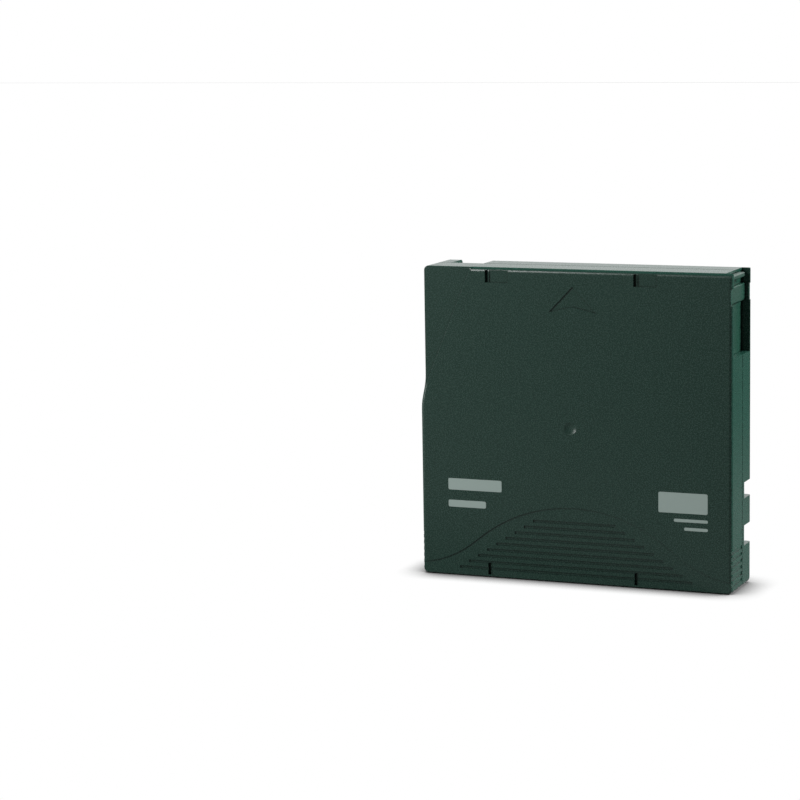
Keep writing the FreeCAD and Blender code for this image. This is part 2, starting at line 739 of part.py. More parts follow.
def upper_shell():
    """The half of the case with the insertion arrow, the grip and the brake's post."""
    body = shell_block("upper_shell_body", FACE, FACE_INNER)
    sink_lead_corner(body)
    mark_upper_face(body)
    round_front_edge(body)
    sink_grip_area(body)
    cut_grip(body)
    door_bay(body, FACE + S.bay_lip, FACE_INNER, S.tab_notch_near)
    add_upper_bosses(body)
    recess_for_label(body)
    guard_ribs(body, FACE_INNER, UPPER_GUARDS)
    return minus("upper_shell", body, [gate_dimple()])


def sink_lead_corner(body):
    """Sink the front left corner of the face, up to its slanting edge."""
    foot = S.guide_centre - S.guide_ramp
    corner = Drawing(body, "XZ_Plane", FACE)
    corner.outline(
        (-S.lead_front + S.lead_slope * S.beyond, S.case_length + S.beyond),
        (-HALF_WIDTH - S.beyond, S.case_length + S.beyond),
        (-HALF_WIDTH - S.beyond, foot),
        (-S.lead_front - S.lead_slope * (S.case_length - foot), foot),
    )
    sunk = cut(corner, FACE + S.lead_depth)
    bind(sunk, "TaperAngle", -S.lead_draft)


def round_front_edge(body):
    """Round the raised part of the face well over at the front end."""
    edge = Drawing(body, "YZ_Plane", -S.lead_front)
    waste_outside(edge, FACE, -1, S.front_edge_radius)
    cut(edge, HALF_WIDTH + S.beyond)


def sink_grip_area(body):
    """Sink the bell-shaped area round the grip a little below the face."""
    side = HALF_WIDTH + S.beyond
    bell = Drawing(body, "XZ_Plane", FACE - S.beyond)
    bell.outline(
        (0.0, S.bell_peak, S.bell_radius),
        (-S.bell_foot_x, S.bell_foot_z, S.bell_foot_radius),
        (-side, S.bell_side),
        (-side, -S.beyond),
        (side, -S.beyond),
        (side, S.bell_side),
        (S.bell_foot_x, S.bell_foot_z, S.bell_foot_radius),
    )
    cut(bell, FACE + S.bell_depth)


def mark_upper_face(body):
    """Insertion arrow, four edge slots and the shallow pockets beside them."""
    shallow = Drawing(body, "XZ_Plane", FACE - S.beyond)
    shallow.outline(
        (0.0, S.arrow_tip),
        (-S.arrow_half_width, S.arrow_tip - S.arrow_length),
        (0.0, S.arrow_tip - S.arrow_length + S.arrow_notch),
        (S.arrow_half_width, S.arrow_tip - S.arrow_length),
    )
    deep = Drawing(body, "XZ_Plane", FACE - S.beyond)
    front = S.case_length - S.slot_margin - S.slot_length
    for x in (-S.slot_left, S.slot_right):
        for z in (S.slot_margin, front):
            deep.rectangle(x - S.slot_width / 2, z, x + S.slot_width / 2, z + S.slot_length)
            near = x + S.slot_width / 2 + S.slot_web
            shallow.rectangle(near, z, near + S.slot_pocket, z + S.slot_length)
    cut(shallow, FACE + S.mark_depth)
    cut(deep, FACE + S.slot_depth)


def cut_grip(body):
    """Grip grooves across the face, each shorter than the one below, and on both sides."""
    grip = Drawing(body, "XZ_Plane", FACE - S.beyond)
    count = int(S.grip_count.value)
    for index in range(count):
        level = S.grip_first + S.grip_pitch * index
        half = S.grip_top_half + S.grip_spread * (count - 1 - index)
        grip.rectangle(-half, level - S.grip_width / 2, half, level + S.grip_width / 2)
    cut(grip, FACE + S.bell_depth + S.grip_depth)
    for side in (-1, 1):
        edge = HALF_WIDTH * side
        groove = Drawing(body, "XZ_Plane", S.seam_level)
        groove.rectangle(
            edge - S.side_grip_depth,
            S.grip_first - S.side_grip_width / 2,
            edge + S.side_grip_depth,
            S.grip_first + S.side_grip_width / 2,
        )
        first = cut(groove, FACE - S.beyond)
        row_of(first, groove, S.grip_pitch, S.side_grip_count)


def add_upper_bosses(body):
    """Screw bosses with pilot holes, the brake's square post and its spring's ring."""
    boss = Drawing(body, "XZ_Plane", FACE_INNER)
    for x, z in SCREWS:
        boss.disc(x, z, S.upper_boss_radius)
    pad(boss, BACK_INNER - S.screw_head)
    pilot = Drawing(body, "XZ_Plane", BACK_INNER)
    for x, z in SCREWS:
        pilot.disc(x, z, S.screw_radius)
    cut(pilot, BACK - S.screw_head - S.screw_length - S.pilot_over)
    post = Drawing(body, "XZ_Plane", FACE_INNER, (REEL_X, S.reel_height))
    half = S.post_side / 2
    post.rectangle(-half, -half, half, half)
    pad(post, S.post_end)
    ring = Drawing(body, "XZ_Plane", FACE_INNER, (REEL_X, S.reel_height))
    inside = S.brake_spring_radius + S.brake_spring_wire
    ring.disc(0.0, 0.0, inside)
    ring.disc(0.0, 0.0, inside + S.spring_ring_width)
    pad(ring, FACE_INNER + S.spring_ring_height)


def gate_dimple():
    """A ball whose cap is the shallow dimple at the moulding gate."""
    ball = doc.addObject("Part::Sphere", "gate_dimple")
    squares = S.dimple_radius * S.dimple_radius + S.dimple_depth * S.dimple_depth
    radius = squares / (S.dimple_depth * 2)
    bind(ball, "Radius", radius)
    bind(ball, "Placement.Base.x", REEL_X)
    bind(ball, "Placement.Base.y", FACE - radius + S.dimple_depth)
    bind(ball, "Placement.Base.z", S.reel_height)
    return ball


# ---------------------------------------------------------------- lower shell

def lower_shell():
    """The half of the case with the hub opening, the gripper notches and the datum holes."""
    body = shell_block("lower_shell", BACK, BACK_INNER)
    add_lower_walls(body)
    door_bay(body, BACK - S.bay_far_lip, BACK_INNER, S.tab_notch_far)
    cut_hub_opening(body)
    cut_gripper_notches(body)
    cut_fastener_holes(body)
    cut_rear_end(body)
    recess_for_label(body)
    guard_ribs(body, BACK_INNER, LOWER_GUARDS)
    return body


def add_lower_walls(body):
    """Walls behind the notches, screw and datum bosses, stops and the board's ribs."""
    walls = Drawing(body, "XZ_Plane", BACK_INNER)
    back_x = HALF_WIDTH - S.gripper_depth - S.gripper_web
    for low, high in ((S.gripper_a_low, S.gripper_a_high), (S.gripper_b_low, S.gripper_b_high)):
        walls.rectangle(back_x, low - S.gripper_web, RIGHT_INNER + S.beyond, high + S.gripper_web)
    pad(walls, S.gripper_near - S.gripper_web)
    boss = Drawing(body, "XZ_Plane", BACK_INNER)
    for x, z in SCREWS:
        boss.disc(x, z, S.boss_radius)
    pad(boss, BACK_INNER - S.screw_head)
    datum = Drawing(body, "XZ_Plane", BACK_INNER)
    datum_z = S.case_length - S.datum_front
    reach = S.datum_radius + S.datum_wall
    datum.disc(-S.datum_left, datum_z, reach)
    slot_outline(datum, S.datum_right, datum_z, reach)
    pad(datum, BACK - S.datum_depth - S.datum_wall)
    stops = Drawing(body, "XZ_Plane", BACK_INNER)
    stops.rectangle(
        DOOR_INNER - S.stop_thickness / 2,
        S.door_spring_foot - S.stop_thickness,
        RIGHT_INNER + S.beyond,
        S.door_spring_foot,
    )
    pad(stops, S.door_spring_level - S.door_spring_radius - S.door_spring_wire)
    keeper = Drawing(body, "XZ_Plane", BACK_INNER)
    slider_top = S.end_wall + S.slide_gap + S.slide_thickness + S.slide_gap
    keeper.rectangle(
        -HALF_WIDTH + S.side_wall - S.beyond,
        slider_top,
        -S.slide_left + S.slide_length + S.slide_travel,
        slider_top + S.board_rib,
    )
    pad(keeper, S.slide_near)
    ribs = Drawing(body, "XZ_Plane", BACK_INNER, (S.board_x, S.board_z), BOARD_TURN)
    half = S.board_size / 2
    gap = S.board_thickness / 2 + S.slide_gap
    for side in (-1, 1):
        for across in (-1, 1):
            inner_x = (half - S.board_rib_in) * across
            outer_x = (half + S.board_rib_out) * across
            near_y = gap * side
            far_y = (gap + S.board_rib) * side
            left, right = sorted((inner_x, outer_x), key=float)
            low, high = sorted((near_y, far_y), key=float)
            ribs.rectangle(left, low, right, high)
    pad(ribs, BACK_INNER - S.board_height * S.board_rib_share)


def slot_outline(drawing, x, z, radius):
    """Draw an upright slot with nearly round ends, long along X."""
    half = S.datum_slot / 2 + radius
    corner = radius - S.round_short
    drawing.outline(
        (x - half, z - radius, corner),
        (x + half, z - radius, corner),
        (x + half, z + radius, corner),
        (x - half, z + radius, corner),
    )


def cut_hub_opening(body):
    """Round opening for the drive's spindle, with the ring that the reel rests on."""
    centre = (REEL_X, S.reel_height)
    ring = Drawing(body, "XZ_Plane", BACK_INNER, centre)
    ring.disc(0.0, 0.0, S.hub_opening_radius)
    ring.disc(0.0, 0.0, S.hub_opening_radius + S.seat_ring_width)
    pad(ring, LOWER_FLANGE_OUTER + S.reel_seat_gap)
    opening = Drawing(body, "XZ_Plane", BACK + S.beyond, centre)
    opening.disc(0.0, 0.0, S.hub_opening_radius)
    cut(opening, LOWER_FLANGE_OUTER)


def cut_gripper_notches(body):
    """Two notches in the right side for a library's gripper."""
    notches = Drawing(body, "XZ_Plane", BACK + S.beyond)
    for low, high in ((S.gripper_a_low, S.gripper_a_high), (S.gripper_b_low, S.gripper_b_high)):
        notches.rectangle(HALF_WIDTH - S.gripper_depth, low, HALF_WIDTH + S.beyond, high)
    cut(notches, S.gripper_near)


def cut_fastener_holes(body):
    """Counterbored screw holes, and a round and a slotted datum hole near the front."""
    heads = Drawing(body, "XZ_Plane", BACK + S.beyond)
    shanks = Drawing(body, "XZ_Plane", BACK + S.beyond)
    for x, z in SCREWS:
        heads.disc(x, z, S.screw_head_radius + S.screw_clearance)
        shanks.disc(x, z, S.screw_radius + S.screw_clearance)
    cut(heads, BACK - S.screw_head - S.slide_gap)
    cut(shanks, BACK_INNER - S.screw_head - S.beyond)
    datum = Drawing(body, "XZ_Plane", BACK + S.beyond)
    datum_z = S.case_length - S.datum_front
    datum.disc(-S.datum_left, datum_z, S.datum_radius)
    slot_outline(datum, S.datum_right, datum_z, S.datum_radius)
    cut(datum, BACK - S.datum_depth)


def cut_rear_end(body):
    """Write-protect window in the rear end, and the notch in the front end."""
    window = Drawing(body, "XY_Plane", -S.beyond)
    window.rectangle(
        -S.slide_left + (S.slide_length - S.thumb_width) / 2 - S.window_gap,
        S.thumb_near - S.window_gap,
        -S.slide_left + (S.slide_length + S.thumb_width) / 2 + S.slide_travel + S.window_gap,
        S.thumb_far + S.window_gap,
    )
    cut(window, S.end_wall + S.slide_gap)
    nose = Drawing(body, "XY_Plane", S.case_length + S.beyond)
    nose.rectangle(-S.nose_notch_left, S.seam_level, -S.nose_notch_right, BACK + S.beyond)
    cut(nose, S.case_length - S.nose_notch_depth)


def recess_for_label(body):
    """Shallow recess for a label across the rear end."""
    recess = Drawing(body, "XY_Plane", -S.beyond)
    recess.rectangle(
        -S.label_left,
        -S.label_height / 2,
        -S.label_left + S.label_width,
        S.label_height / 2,
    )
    cut(recess, S.label_depth)


# ---------------------------------------------------------------- door

def access_door():
    """Sliding door: a plate in its track, the tab a drive pushes, a rib and a spring lug."""
    body = new_body("access_door")
    near = FACE_INNER - S.track_depth + S.door_clearance
    far = BACK_INNER + S.track_depth - S.door_clearance
    low = S.bay_bottom - S.door_overlap
    top = BAY_ROOF - S.door_clearance
    plate = Drawing(body, "XZ_Plane", near)
    plate.rectangle(DOOR_INNER, low, DOOR_OUTER, top)
    pad(plate, far)
    tab = Drawing(body, "XZ_Plane", FACE + S.bay_lip + S.door_clearance)
    tab.rectangle(
        DOOR_OUTER - S.sunk,
        S.tab_low,
        DOOR_OUTER + S.door_tab_height,
        S.tab_low + S.tab_length,
    )
    pad(tab, BACK - S.bay_far_lip - S.door_clearance)
    rib = Drawing(body, "XZ_Plane", FACE + S.bay_lip + S.door_clearance)
    rib.rectangle(
        DOOR_OUTER - S.sunk,
        top - S.door_rib_length,
        DOOR_OUTER + S.door_rib_height,
        top,
    )
    pad(rib, S.door_rib_end)
    lug = Drawing(body, "XZ_Plane", S.door_spring_level - S.stop_thickness)
    lug.rectangle(DOOR_INNER - S.door_lug, low, DOOR_INNER + S.sunk, low + S.stop_thickness)
    pad(lug, S.door_spring_level + S.stop_thickness)
    soften(body, "Fillet", S.door_fillet, tab_edge)
    return body


def tab_edge(edge):
    """A test for the long outer edges of the door's tab and rib."""
    box = edge.BoundBox
    outward = box.XMin > (DOOR_OUTER + S.door_fillet).value
    return outward and box.YLength > 5 and box.XLength < 0.001 and box.ZLength < 0.001


def coil(label, radius, wire, turns, length):
    """A coil spring of six-sided wire round its own Z axis, from first turn to last."""
    body = new_body(label)
    section = Drawing(body, "XZ_Plane")
    half = wire / 2
    flat = half * math.sqrt(3) / 2
    section.outline(
        (radius - half, 0.0),
        (radius - half / 2, -flat),
        (radius + half / 2, -flat),
        (radius + half, 0.0),
        (radius + half / 2, flat),
        (radius - half / 2, flat),
    )
    helix = body.newObject("PartDesign::AdditiveHelix", label + "_helix")
    helix.Profile = section.sketch
    helix.ReferenceAxis = (section.sketch, ["V_Axis"])
    helix.Mode = "height-turns-angle"
    bind(helix, "Height", length)
    bind(helix, "Turns", turns)
    body.Tip = helix
    return body


def door_spring():
    """Long compression spring that holds the door shut."""
    wire = S.door_spring_wire
    low = S.bay_bottom - S.door_overlap
    start = S.door_spring_foot + wire / 2 + S.slide_gap
    length = low - wire / 2 - S.slide_gap - start
    body = coil("door_spring", S.door_spring_radius, wire, S.door_spring_turns, length)
    bind(body, "Placement.Base.x", DOOR_INNER + S.door_plate / 2 - S.door_spring_shift)
    bind(body, "Placement.Base.y", S.door_spring_level)
    bind(body, "Placement.Base.z", start)
    return body


# ---------------------------------------------------------------- reel

def reel_hub():
    """Hub and lower flange in one moulding, with the drive teeth and the brake teeth."""
    body = turned_body("reel_hub")
    drum_inner = S.hub_radius - S.hub_wall
    profile = Drawing(body, "XZ_Plane")
    profile.outline(
        (drum_inner, UPPER_FLANGE_INNER),
        (S.hub_radius, UPPER_FLANGE_INNER),
        (S.hub_radius, LOWER_FLANGE_INNER),
        (S.flange_radius, LOWER_FLANGE_INNER),
        (S.flange_radius, LOWER_FLANGE_OUTER),
        (S.hub_boss_radius, LOWER_FLANGE_OUTER),
        (S.hub_boss_radius, S.hub_boss_end),
        (S.hub_boss_inner, S.hub_boss_end),
        (S.hub_boss_inner, S.hub_floor),
        (0.0, S.hub_floor),
        (0.0, S.web_inner),
        (drum_inner, S.web_inner),
    )
    revolve(profile)
    span = (S.hub_boss_inner, S.hub_boss_radius)
    drive = radial_tooth(body, span, S.hub_boss_end, S.gear_tooth_height, S.gear_tooth_width)
    ring_of(drive, S.gear_teeth)
    span = (S.brake_tooth_inner, S.brake_tooth_outer)
    brake = radial_tooth(body, span, S.web_inner, -S.brake_tooth_height, S.brake_tooth_width)
    ring_of(brake, S.brake_teeth)
    holes = Drawing(body, "XY_Plane", S.hub_floor + S.beyond)
    holes.disc(S.leg_circle, 0.0, S.leg_radius + S.leg_clearance)
    ring_of(cut(holes, S.web_inner - S.beyond), S.leg_count)
    return body


def radial_tooth(body, span, root, height, width):
    """A straight radial tooth on a flat ring, narrower at its tip than at its root."""
    inside, outside = span
    tooth = Drawing(body, "YZ_Plane", inside)
    sink = S.sunk if height.value > 0 else -S.sunk
    tooth.outline(
        (-width / 2, root - sink),
        (width / 2, root - sink),
        (width / 2, root),
        (width * S.tooth_tip / 2, root + height),
        (-width * S.tooth_tip / 2, root + height),
        (-width / 2, root),
    )
    return pad(tooth, outside)


def upper_flange():
    """Upper flange, welded on the hub's drum."""
    body = turned_body("upper_flange")
    inner = S.hub_radius - S.hub_wall
    profile = Drawing(body, "XZ_Plane")
    profile.rectangle(inner, UPPER_FLANGE_OUTER, S.flange_radius, UPPER_FLANGE_INNER)
    revolve(profile)
    return body


def tape_pack():
    """All the wound turns of tape as one ring."""
    body = turned_body("tape_pack")
    profile = Drawing(body, "XZ_Plane")
    profile.rectangle(S.hub_radius + S.pack_gap, TAPE_LOW, S.pack_radius, TAPE_HIGH)
    revolve(profile)
    return body


def drive_plate():
    """Thin steel ring in the hub's outer side, which the drive's magnet holds."""
    body = turned_body("drive_plate")
    profile = Drawing(body, "XZ_Plane")
    profile.rectangle(S.plate_bore, S.hub_floor, S.plate_radius, S.hub_floor + S.plate_thickness)
    revolve(profile)
    return body


# ---------------------------------------------------------------- brake

def brake_button():
    """Toothed disc that slides on the upper shell's post and locks the hub."""
    body = turned_body("brake_button")
    top = BRAKE_TOOTH_ROOT - S.brake_disc
    profile = Drawing(body, "XZ_Plane")
    profile.outline(
        (0.0, -S.brake_tube_top),
        (S.brake_tube_radius, -S.brake_tube_top),
        (S.brake_tube_radius, top),
        (S.brake_radius, top),
        (S.brake_radius, BRAKE_TOOTH_ROOT),
        (0.0, BRAKE_TOOTH_ROOT),
    )
    revolve(profile)
    socket = Drawing(body, "XY_Plane", -S.brake_tube_top)
    half = S.post_side / 2 + S.post_clearance
    socket.rectangle(-half, -half, half, half)
    cut(socket, BRAKE_TOOTH_ROOT - S.brake_tube_floor)
    turn = 180.0 / S.brake_teeth.value
    teeth = Drawing(body, "XY_Plane", BRAKE_TOOTH_ROOT - S.sunk, (0.0, 0.0), turn)
    half = S.brake_tooth_width * S.brake_tooth_share / 2
    teeth.rectangle(S.brake_tooth_inner, -half, S.brake_tooth_outer, half)
    ring_of(pad(teeth, S.web_inner - S.mesh_gap), S.brake_teeth)
    return body


def brake_spring():
    """Compression spring between the upper shell and the brake button."""
    wire = S.brake_spring_wire
    start = FACE_INNER + wire / 2 + S.slide_gap
    end = BRAKE_TOOTH_ROOT - S.brake_disc - wire / 2 - S.slide_gap
    body = coil("brake_spring", S.brake_spring_radius, wire, S.brake_spring_turns, end - start)
    place_on_reel_axis(body)
    bind(body, "Placement.Base.y", start)
    return body


def release_pad():
    """Disc under the brake button with three legs that a drive's spindle pushes."""
    body = turned_body("release_pad")
    top = BRAKE_TOOTH_ROOT + S.mesh_gap
    disc = Drawing(body, "XY_Plane", top)
    disc.disc(0.0, 0.0, S.pad_radius)
    pad(disc, top + S.pad_disc)
    leg = Drawing(body, "XY_Plane", top + S.pad_disc / 2)
    leg.disc(S.leg_circle, 0.0, S.leg_radius)
    ring_of(pad(leg, S.leg_end), S.leg_count)
    return body


# ---------------------------------------------------------------- leader pin

def leader_pin():
    """Turned steel pin with a head at each end, standing across the case's thickness."""
    body = new_body("leader_pin")
    end = BACK_INNER + S.pin_pocket - S.pin_end_gap
    neck = end - S.pin_head
    profile = Drawing(body, "XZ_Plane")
    profile.outline(
        (0.0, -end),
        (S.pin_head_radius, -end),
        (S.pin_head_radius, -neck),
        (S.pin_radius, -neck),
        (S.pin_radius, neck),
        (S.pin_head_radius, neck),
        (S.pin_head_radius, end),
        (0.0, end),
    )
    revolve(profile)
    stand_at_pin(body)
    return body


def stand_at_pin(thing):
    """Put an object's own Z axis on the leader pin's axis."""
    thing.Placement = Placement(Vector(0, 0, 0), AXIS_ROTATION)
    bind(thing, "Placement.Base.x", S.pin_x)
    bind(thing, "Placement.Base.z", PIN_Z)


def leader_pin_clamp():
    """Slit sleeve that clips the end of the tape onto the pin."""
    body = new_body("leader_pin_clamp")
    sleeve = Drawing(body, "XY_Plane", TAPE_LOW)
    sleeve.disc(0.0, 0.0, S.pin_radius + S.clamp_gap)
    sleeve.disc(0.0, 0.0, S.clamp_radius)
    pad(sleeve, TAPE_HIGH)
    slit = Drawing(body, "XY_Plane", TAPE_LOW - S.beyond)
    slit.rectangle(0.0, -S.clamp_slit / 2, S.clamp_radius + S.beyond, S.clamp_slit / 2)
    cut(slit, TAPE_HIGH + S.beyond)
    stand_at_pin(body)
    return body


def tape_leader():
    """The stretch of tape from the wound pack to the pin, as one thin strip."""
    body = new_body("tape_leader")
    reach_x = S.pin_x.value - REEL_X.value
    reach_z = PIN_Z.value - S.reel_height.value
    distance = math.hypot(reach_x, reach_z)
    radius = S.pack_radius.value + S.mesh_gap.value + S.leader_thickness.value / 2
    direction = math.atan2(reach_z, reach_x) - math.acos(radius / distance)
    length = math.sqrt(distance ** 2 - radius ** 2) - S.clamp_radius.value - S.mesh_gap.value
    strip = Drawing(body, "XZ_Plane", TAPE_LOW)
    half = S.leader_thickness / 2
    strip.rectangle(radius - half, 0.0, radius + half, length)
    pad(strip, TAPE_HIGH)
    body.Placement = Placement(Vector(0, 0, 0), Rotation(Vector(0, 1, 0), -math.degrees(direction)))
    bind(body, "Placement.Base.x", REEL_X)
    bind(body, "Placement.Base.z", S.reel_height)
    return body


def pin_spring(label, outward):
    """Bent wire that presses on one head of the pin and keeps it in its pocket."""
    body = new_body(label)
    inner = FACE_INNER if outward < 0 else BACK_INNER
    level = inner - S.wire_level * outward
    touch = S.pin_x + S.pin_head_radius + S.wire_radius + S.wire_gap
    top = FRONT_INNER - S.wire_radius - S.mesh_gap
    start = S.pin_x - S.wire_run
    route = Drawing(body, "XZ_Plane", level)
    route.path(
        (start, top),
        (touch + S.wire_flare, top, S.wire_bend),
        (touch + S.wire_flare, PIN_Z + S.wire_reach, S.wire_bend),
        (touch, PIN_Z, S.wire_bend),
        (touch + S.wire_flare, PIN_Z - S.wire_reach),
    )
    section = Drawing(body, "YZ_Plane", start)
    section.disc(level, top, S.wire_radius)
    pipe = body.newObject("PartDesign::AdditivePipe", label + "_wire")
    pipe.Profile = section.sketch
    pipe.Spine = (route.sketch, [])
    body.Tip = pipe
    return body


# ---------------------------------------------------------------- small parts

def write_protect_slider():
    """Slider behind the rear end, with a ribbed thumb piece in its window."""
    body = new_body("write_protect_slider")
    base = S.end_wall + S.slide_gap
    block = Drawing(body, "XY_Plane", base)
    block.rectangle(
        -S.slide_left,
        S.slide_near,
        -S.slide_left + S.slide_length,
        BACK_INNER - S.slide_gap,
    )
    pad(block, base + S.slide_thickness)
    centre = -S.slide_left + S.slide_length / 2
    thumb = Drawing(body, "XY_Plane", base + S.sunk)
    thumb.rectangle(centre - S.thumb_width / 2, S.thumb_near, centre + S.thumb_width / 2, S.thumb_far)
    pad(thumb, S.thumb_level)
    ridges = Drawing(body, "XY_Plane", S.thumb_level - S.sunk)
    for step in (-1, 0, 1):
        middle = centre + S.ridge_pitch * step
        half = S.ridge_width / 2
        ridges.rectangle(middle - half, S.thumb_near, middle + half, S.thumb_far)
    cut(ridges, S.thumb_level + S.ridge_depth)
    return body


def memory_board():
    """Small board that stands at 45 degrees in the rear right corner."""
    board = doc.addObject("Part::Box", "memory_board")
    board.Label = "memory_board"
    bind(board, "Length", S.board_size)
    bind(board, "Width", S.board_height)
    bind(board, "Height", S.board_thickness)
    lean_on_board(board, -S.board_size / 2, -S.board_thickness / 2)
    return board


def memory_chip():
    """Chip on the board's inner side."""
    chip = doc.addObject("Part::Box", "memory_chip")
    chip.Label = "memory_chip"
    bind(chip, "Length", S.chip_size)
    bind(chip, "Width", S.chip_size)
    bind(chip, "Height", S.chip_thickness)
    lean_on_board(chip, -S.chip_size / 2, S.board_thickness / 2)
    middle = BACK_INNER - S.slide_gap - S.board_height / 2 - S.chip_size / 2
    bind(chip, "Placement.Base.y", middle)
    return chip


def lean_on_board(thing, along, above):
    """Turn a box to the board's slope and put its corner on the board's plane."""
    lean = math.cos(math.radians(BOARD_TURN))
    thing.Placement = Placement(Vector(0, 0, 0), Rotation(Vector(0, 1, 0), -BOARD_TURN))
    bind(thing, "Placement.Base.x", S.board_x + (along - above) * lean)
    bind(thing, "Placement.Base.z", S.board_z + (along + above) * lean)
    bind(thing, "Placement.Base.y", BACK_INNER - S.slide_gap - S.board_height)


def case_screws():
    """Four screws through the lower shell, as one group."""
    screws = []
    for index, (x, z) in enumerate(SCREWS, start=1):
        head = doc.addObject("Part::Cylinder", f"screw_{index}_head")
        bind(head, "Radius", S.screw_head_radius)
        bind(head, "Height", S.screw_head - S.screw_sunk)
        shank = doc.addObject("Part::Cylinder", f"screw_{index}_shank")
        bind(shank, "Radius", S.screw_radius - S.screw_slack)
        bind(shank, "Height", S.screw_length + S.sunk)
        for piece, level in (
            (head, BACK - S.screw_head),
            (shank, BACK - S.screw_head - S.screw_length),
        ):
            piece.Placement = Placement(Vector(0, 0, 0), AXIS_ROTATION)
            bind(piece, "Placement.Base.x", x)
            bind(piece, "Placement.Base.y", level)
            bind(piece, "Placement.Base.z", z)
        screws.append(union(f"screw_{index}", [head, shank]))
    group = doc.addObject("Part::Compound", "case_screws")
    group.Label = "case_screws"
    group.Links = screws
    return group


def check_document():
    """Stop if any object failed to build or any pocket cut nothing."""
    failed = [item for item in doc.Objects if "Invalid" in item.State or "Error" in item.State]
    if failed:
        raise RuntimeError("did not build: " + ", ".join(item.Name for item in failed))
    for item in doc.Objects:
        if item.TypeId == "PartDesign::Pocket" and item.BaseFeature is not None:
            removed = item.BaseFeature.Shape.Volume - item.Shape.Volume
            if removed < 0.001:
                raise RuntimeError(f"{item.Label} removed nothing")


def export(parts):
    """Write each sub-part's shape to its own STEP file."""
    os.makedirs("parts", exist_ok=True)
    for part in parts:
        if part.Shape.isNull() or not part.Shape.isValid():
            raise RuntimeError(f"{part.Label} has no valid shape")
        part.Shape.exportStep(f"parts/{part.Label}.step")
        box = part.Shape.BoundBox
        print(f"{part.Label:22s} solids {len(part.Shape.Solids)} volume {part.Shape.Volume:9.1f} "
              f"x {box.XMin:7.2f} {box.XMax:7.2f} y {box.YMin:7.2f} {box.YMax:7.2f} "
              f"z {box.ZMin:7.2f} {box.ZMax:7.2f}")


PARTS = [
    upper_shell(),
    lower_shell(),
    access_door(),
    door_spring(),
    reel_hub(),
    upper_flange(),
    tape_pack(),
    drive_plate(),
    brake_button(),
    brake_spring(),
    release_pad(),
    leader_pin(),
    leader_pin_clamp(),
    tape_leader(),
    pin_spring("pin_spring_upper", -1),
    pin_spring("pin_spring_lower", 1),
    write_protect_slider(),
    memory_board(),
    memory_chip(),
    case_screws(),
]
doc.recompute()
check_document()
export(PARTS)
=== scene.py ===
"""Looks of a half-inch data tape cartridge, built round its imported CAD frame.

Everything is in metres in the frame's axes: +Z to the insertion end, +X to the side with the
access door, and -Y out of the face with the insertion arrow. The solids keep their own
shapes. This script gives each its finish, and adds the print, the screws' heads and the set.
"""
import logging
import math
from dataclasses import dataclass, field
from enum import Enum
from typing import Iterable, Sequence

import bpy
from mathutils import Matrix, Vector


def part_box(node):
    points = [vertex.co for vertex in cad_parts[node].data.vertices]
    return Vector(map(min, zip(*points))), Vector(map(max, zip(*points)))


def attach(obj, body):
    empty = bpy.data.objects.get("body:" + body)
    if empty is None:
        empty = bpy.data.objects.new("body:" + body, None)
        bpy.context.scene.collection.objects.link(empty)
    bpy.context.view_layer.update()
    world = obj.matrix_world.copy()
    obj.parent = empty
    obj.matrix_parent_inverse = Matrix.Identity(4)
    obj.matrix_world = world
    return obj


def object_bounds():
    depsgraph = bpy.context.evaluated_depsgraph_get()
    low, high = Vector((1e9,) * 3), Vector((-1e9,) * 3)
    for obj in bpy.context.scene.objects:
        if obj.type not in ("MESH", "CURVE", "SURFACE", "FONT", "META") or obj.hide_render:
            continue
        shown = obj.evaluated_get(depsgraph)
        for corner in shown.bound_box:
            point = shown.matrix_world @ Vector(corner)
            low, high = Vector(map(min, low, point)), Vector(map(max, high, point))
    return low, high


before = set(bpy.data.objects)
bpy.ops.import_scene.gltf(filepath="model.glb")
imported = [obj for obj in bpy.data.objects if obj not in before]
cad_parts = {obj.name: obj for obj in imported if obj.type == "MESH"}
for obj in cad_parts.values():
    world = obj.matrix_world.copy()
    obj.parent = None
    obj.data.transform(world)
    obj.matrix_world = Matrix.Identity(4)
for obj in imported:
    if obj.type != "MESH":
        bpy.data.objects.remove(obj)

log = logging.getLogger("cartridge")
CAD_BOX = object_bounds()
MM = 0.001

Node = bpy.types.Node
Socket = bpy.types.NodeSocket
Piece = bpy.types.Object
Material = bpy.types.Material
Point = Sequence[float]
Span = tuple[float, float]


class Slot(Enum):
    """The record's material slots for the case's plastic and the screws' steel."""

    PLASTIC = "case_plastic"
    SCREW = "screw_steel"


def linear(code: str) -> tuple[float, float, float, float]:
    """Turn an sRGB hex value into the linear colour that a shader wants.

    Args:
        code: The colour as six hex digits.

    Returns:
        Linear red, green and blue, with an alpha of one.
    """
    channels = []
    for start in (0, 2, 4):
        value = int(code[start:start + 2], 16) / 255
        low = value <= 0.04045
        channels.append(value / 12.92 if low else ((value + 0.055) / 1.055) ** 2.4)
    return (channels[0], channels[1], channels[2], 1.0)


def per_length(size: Point) -> Point:
    """Turn the real size of a pattern's unit, in metres, into the scale that draws it."""
    return tuple(1.0 / length for length in size)


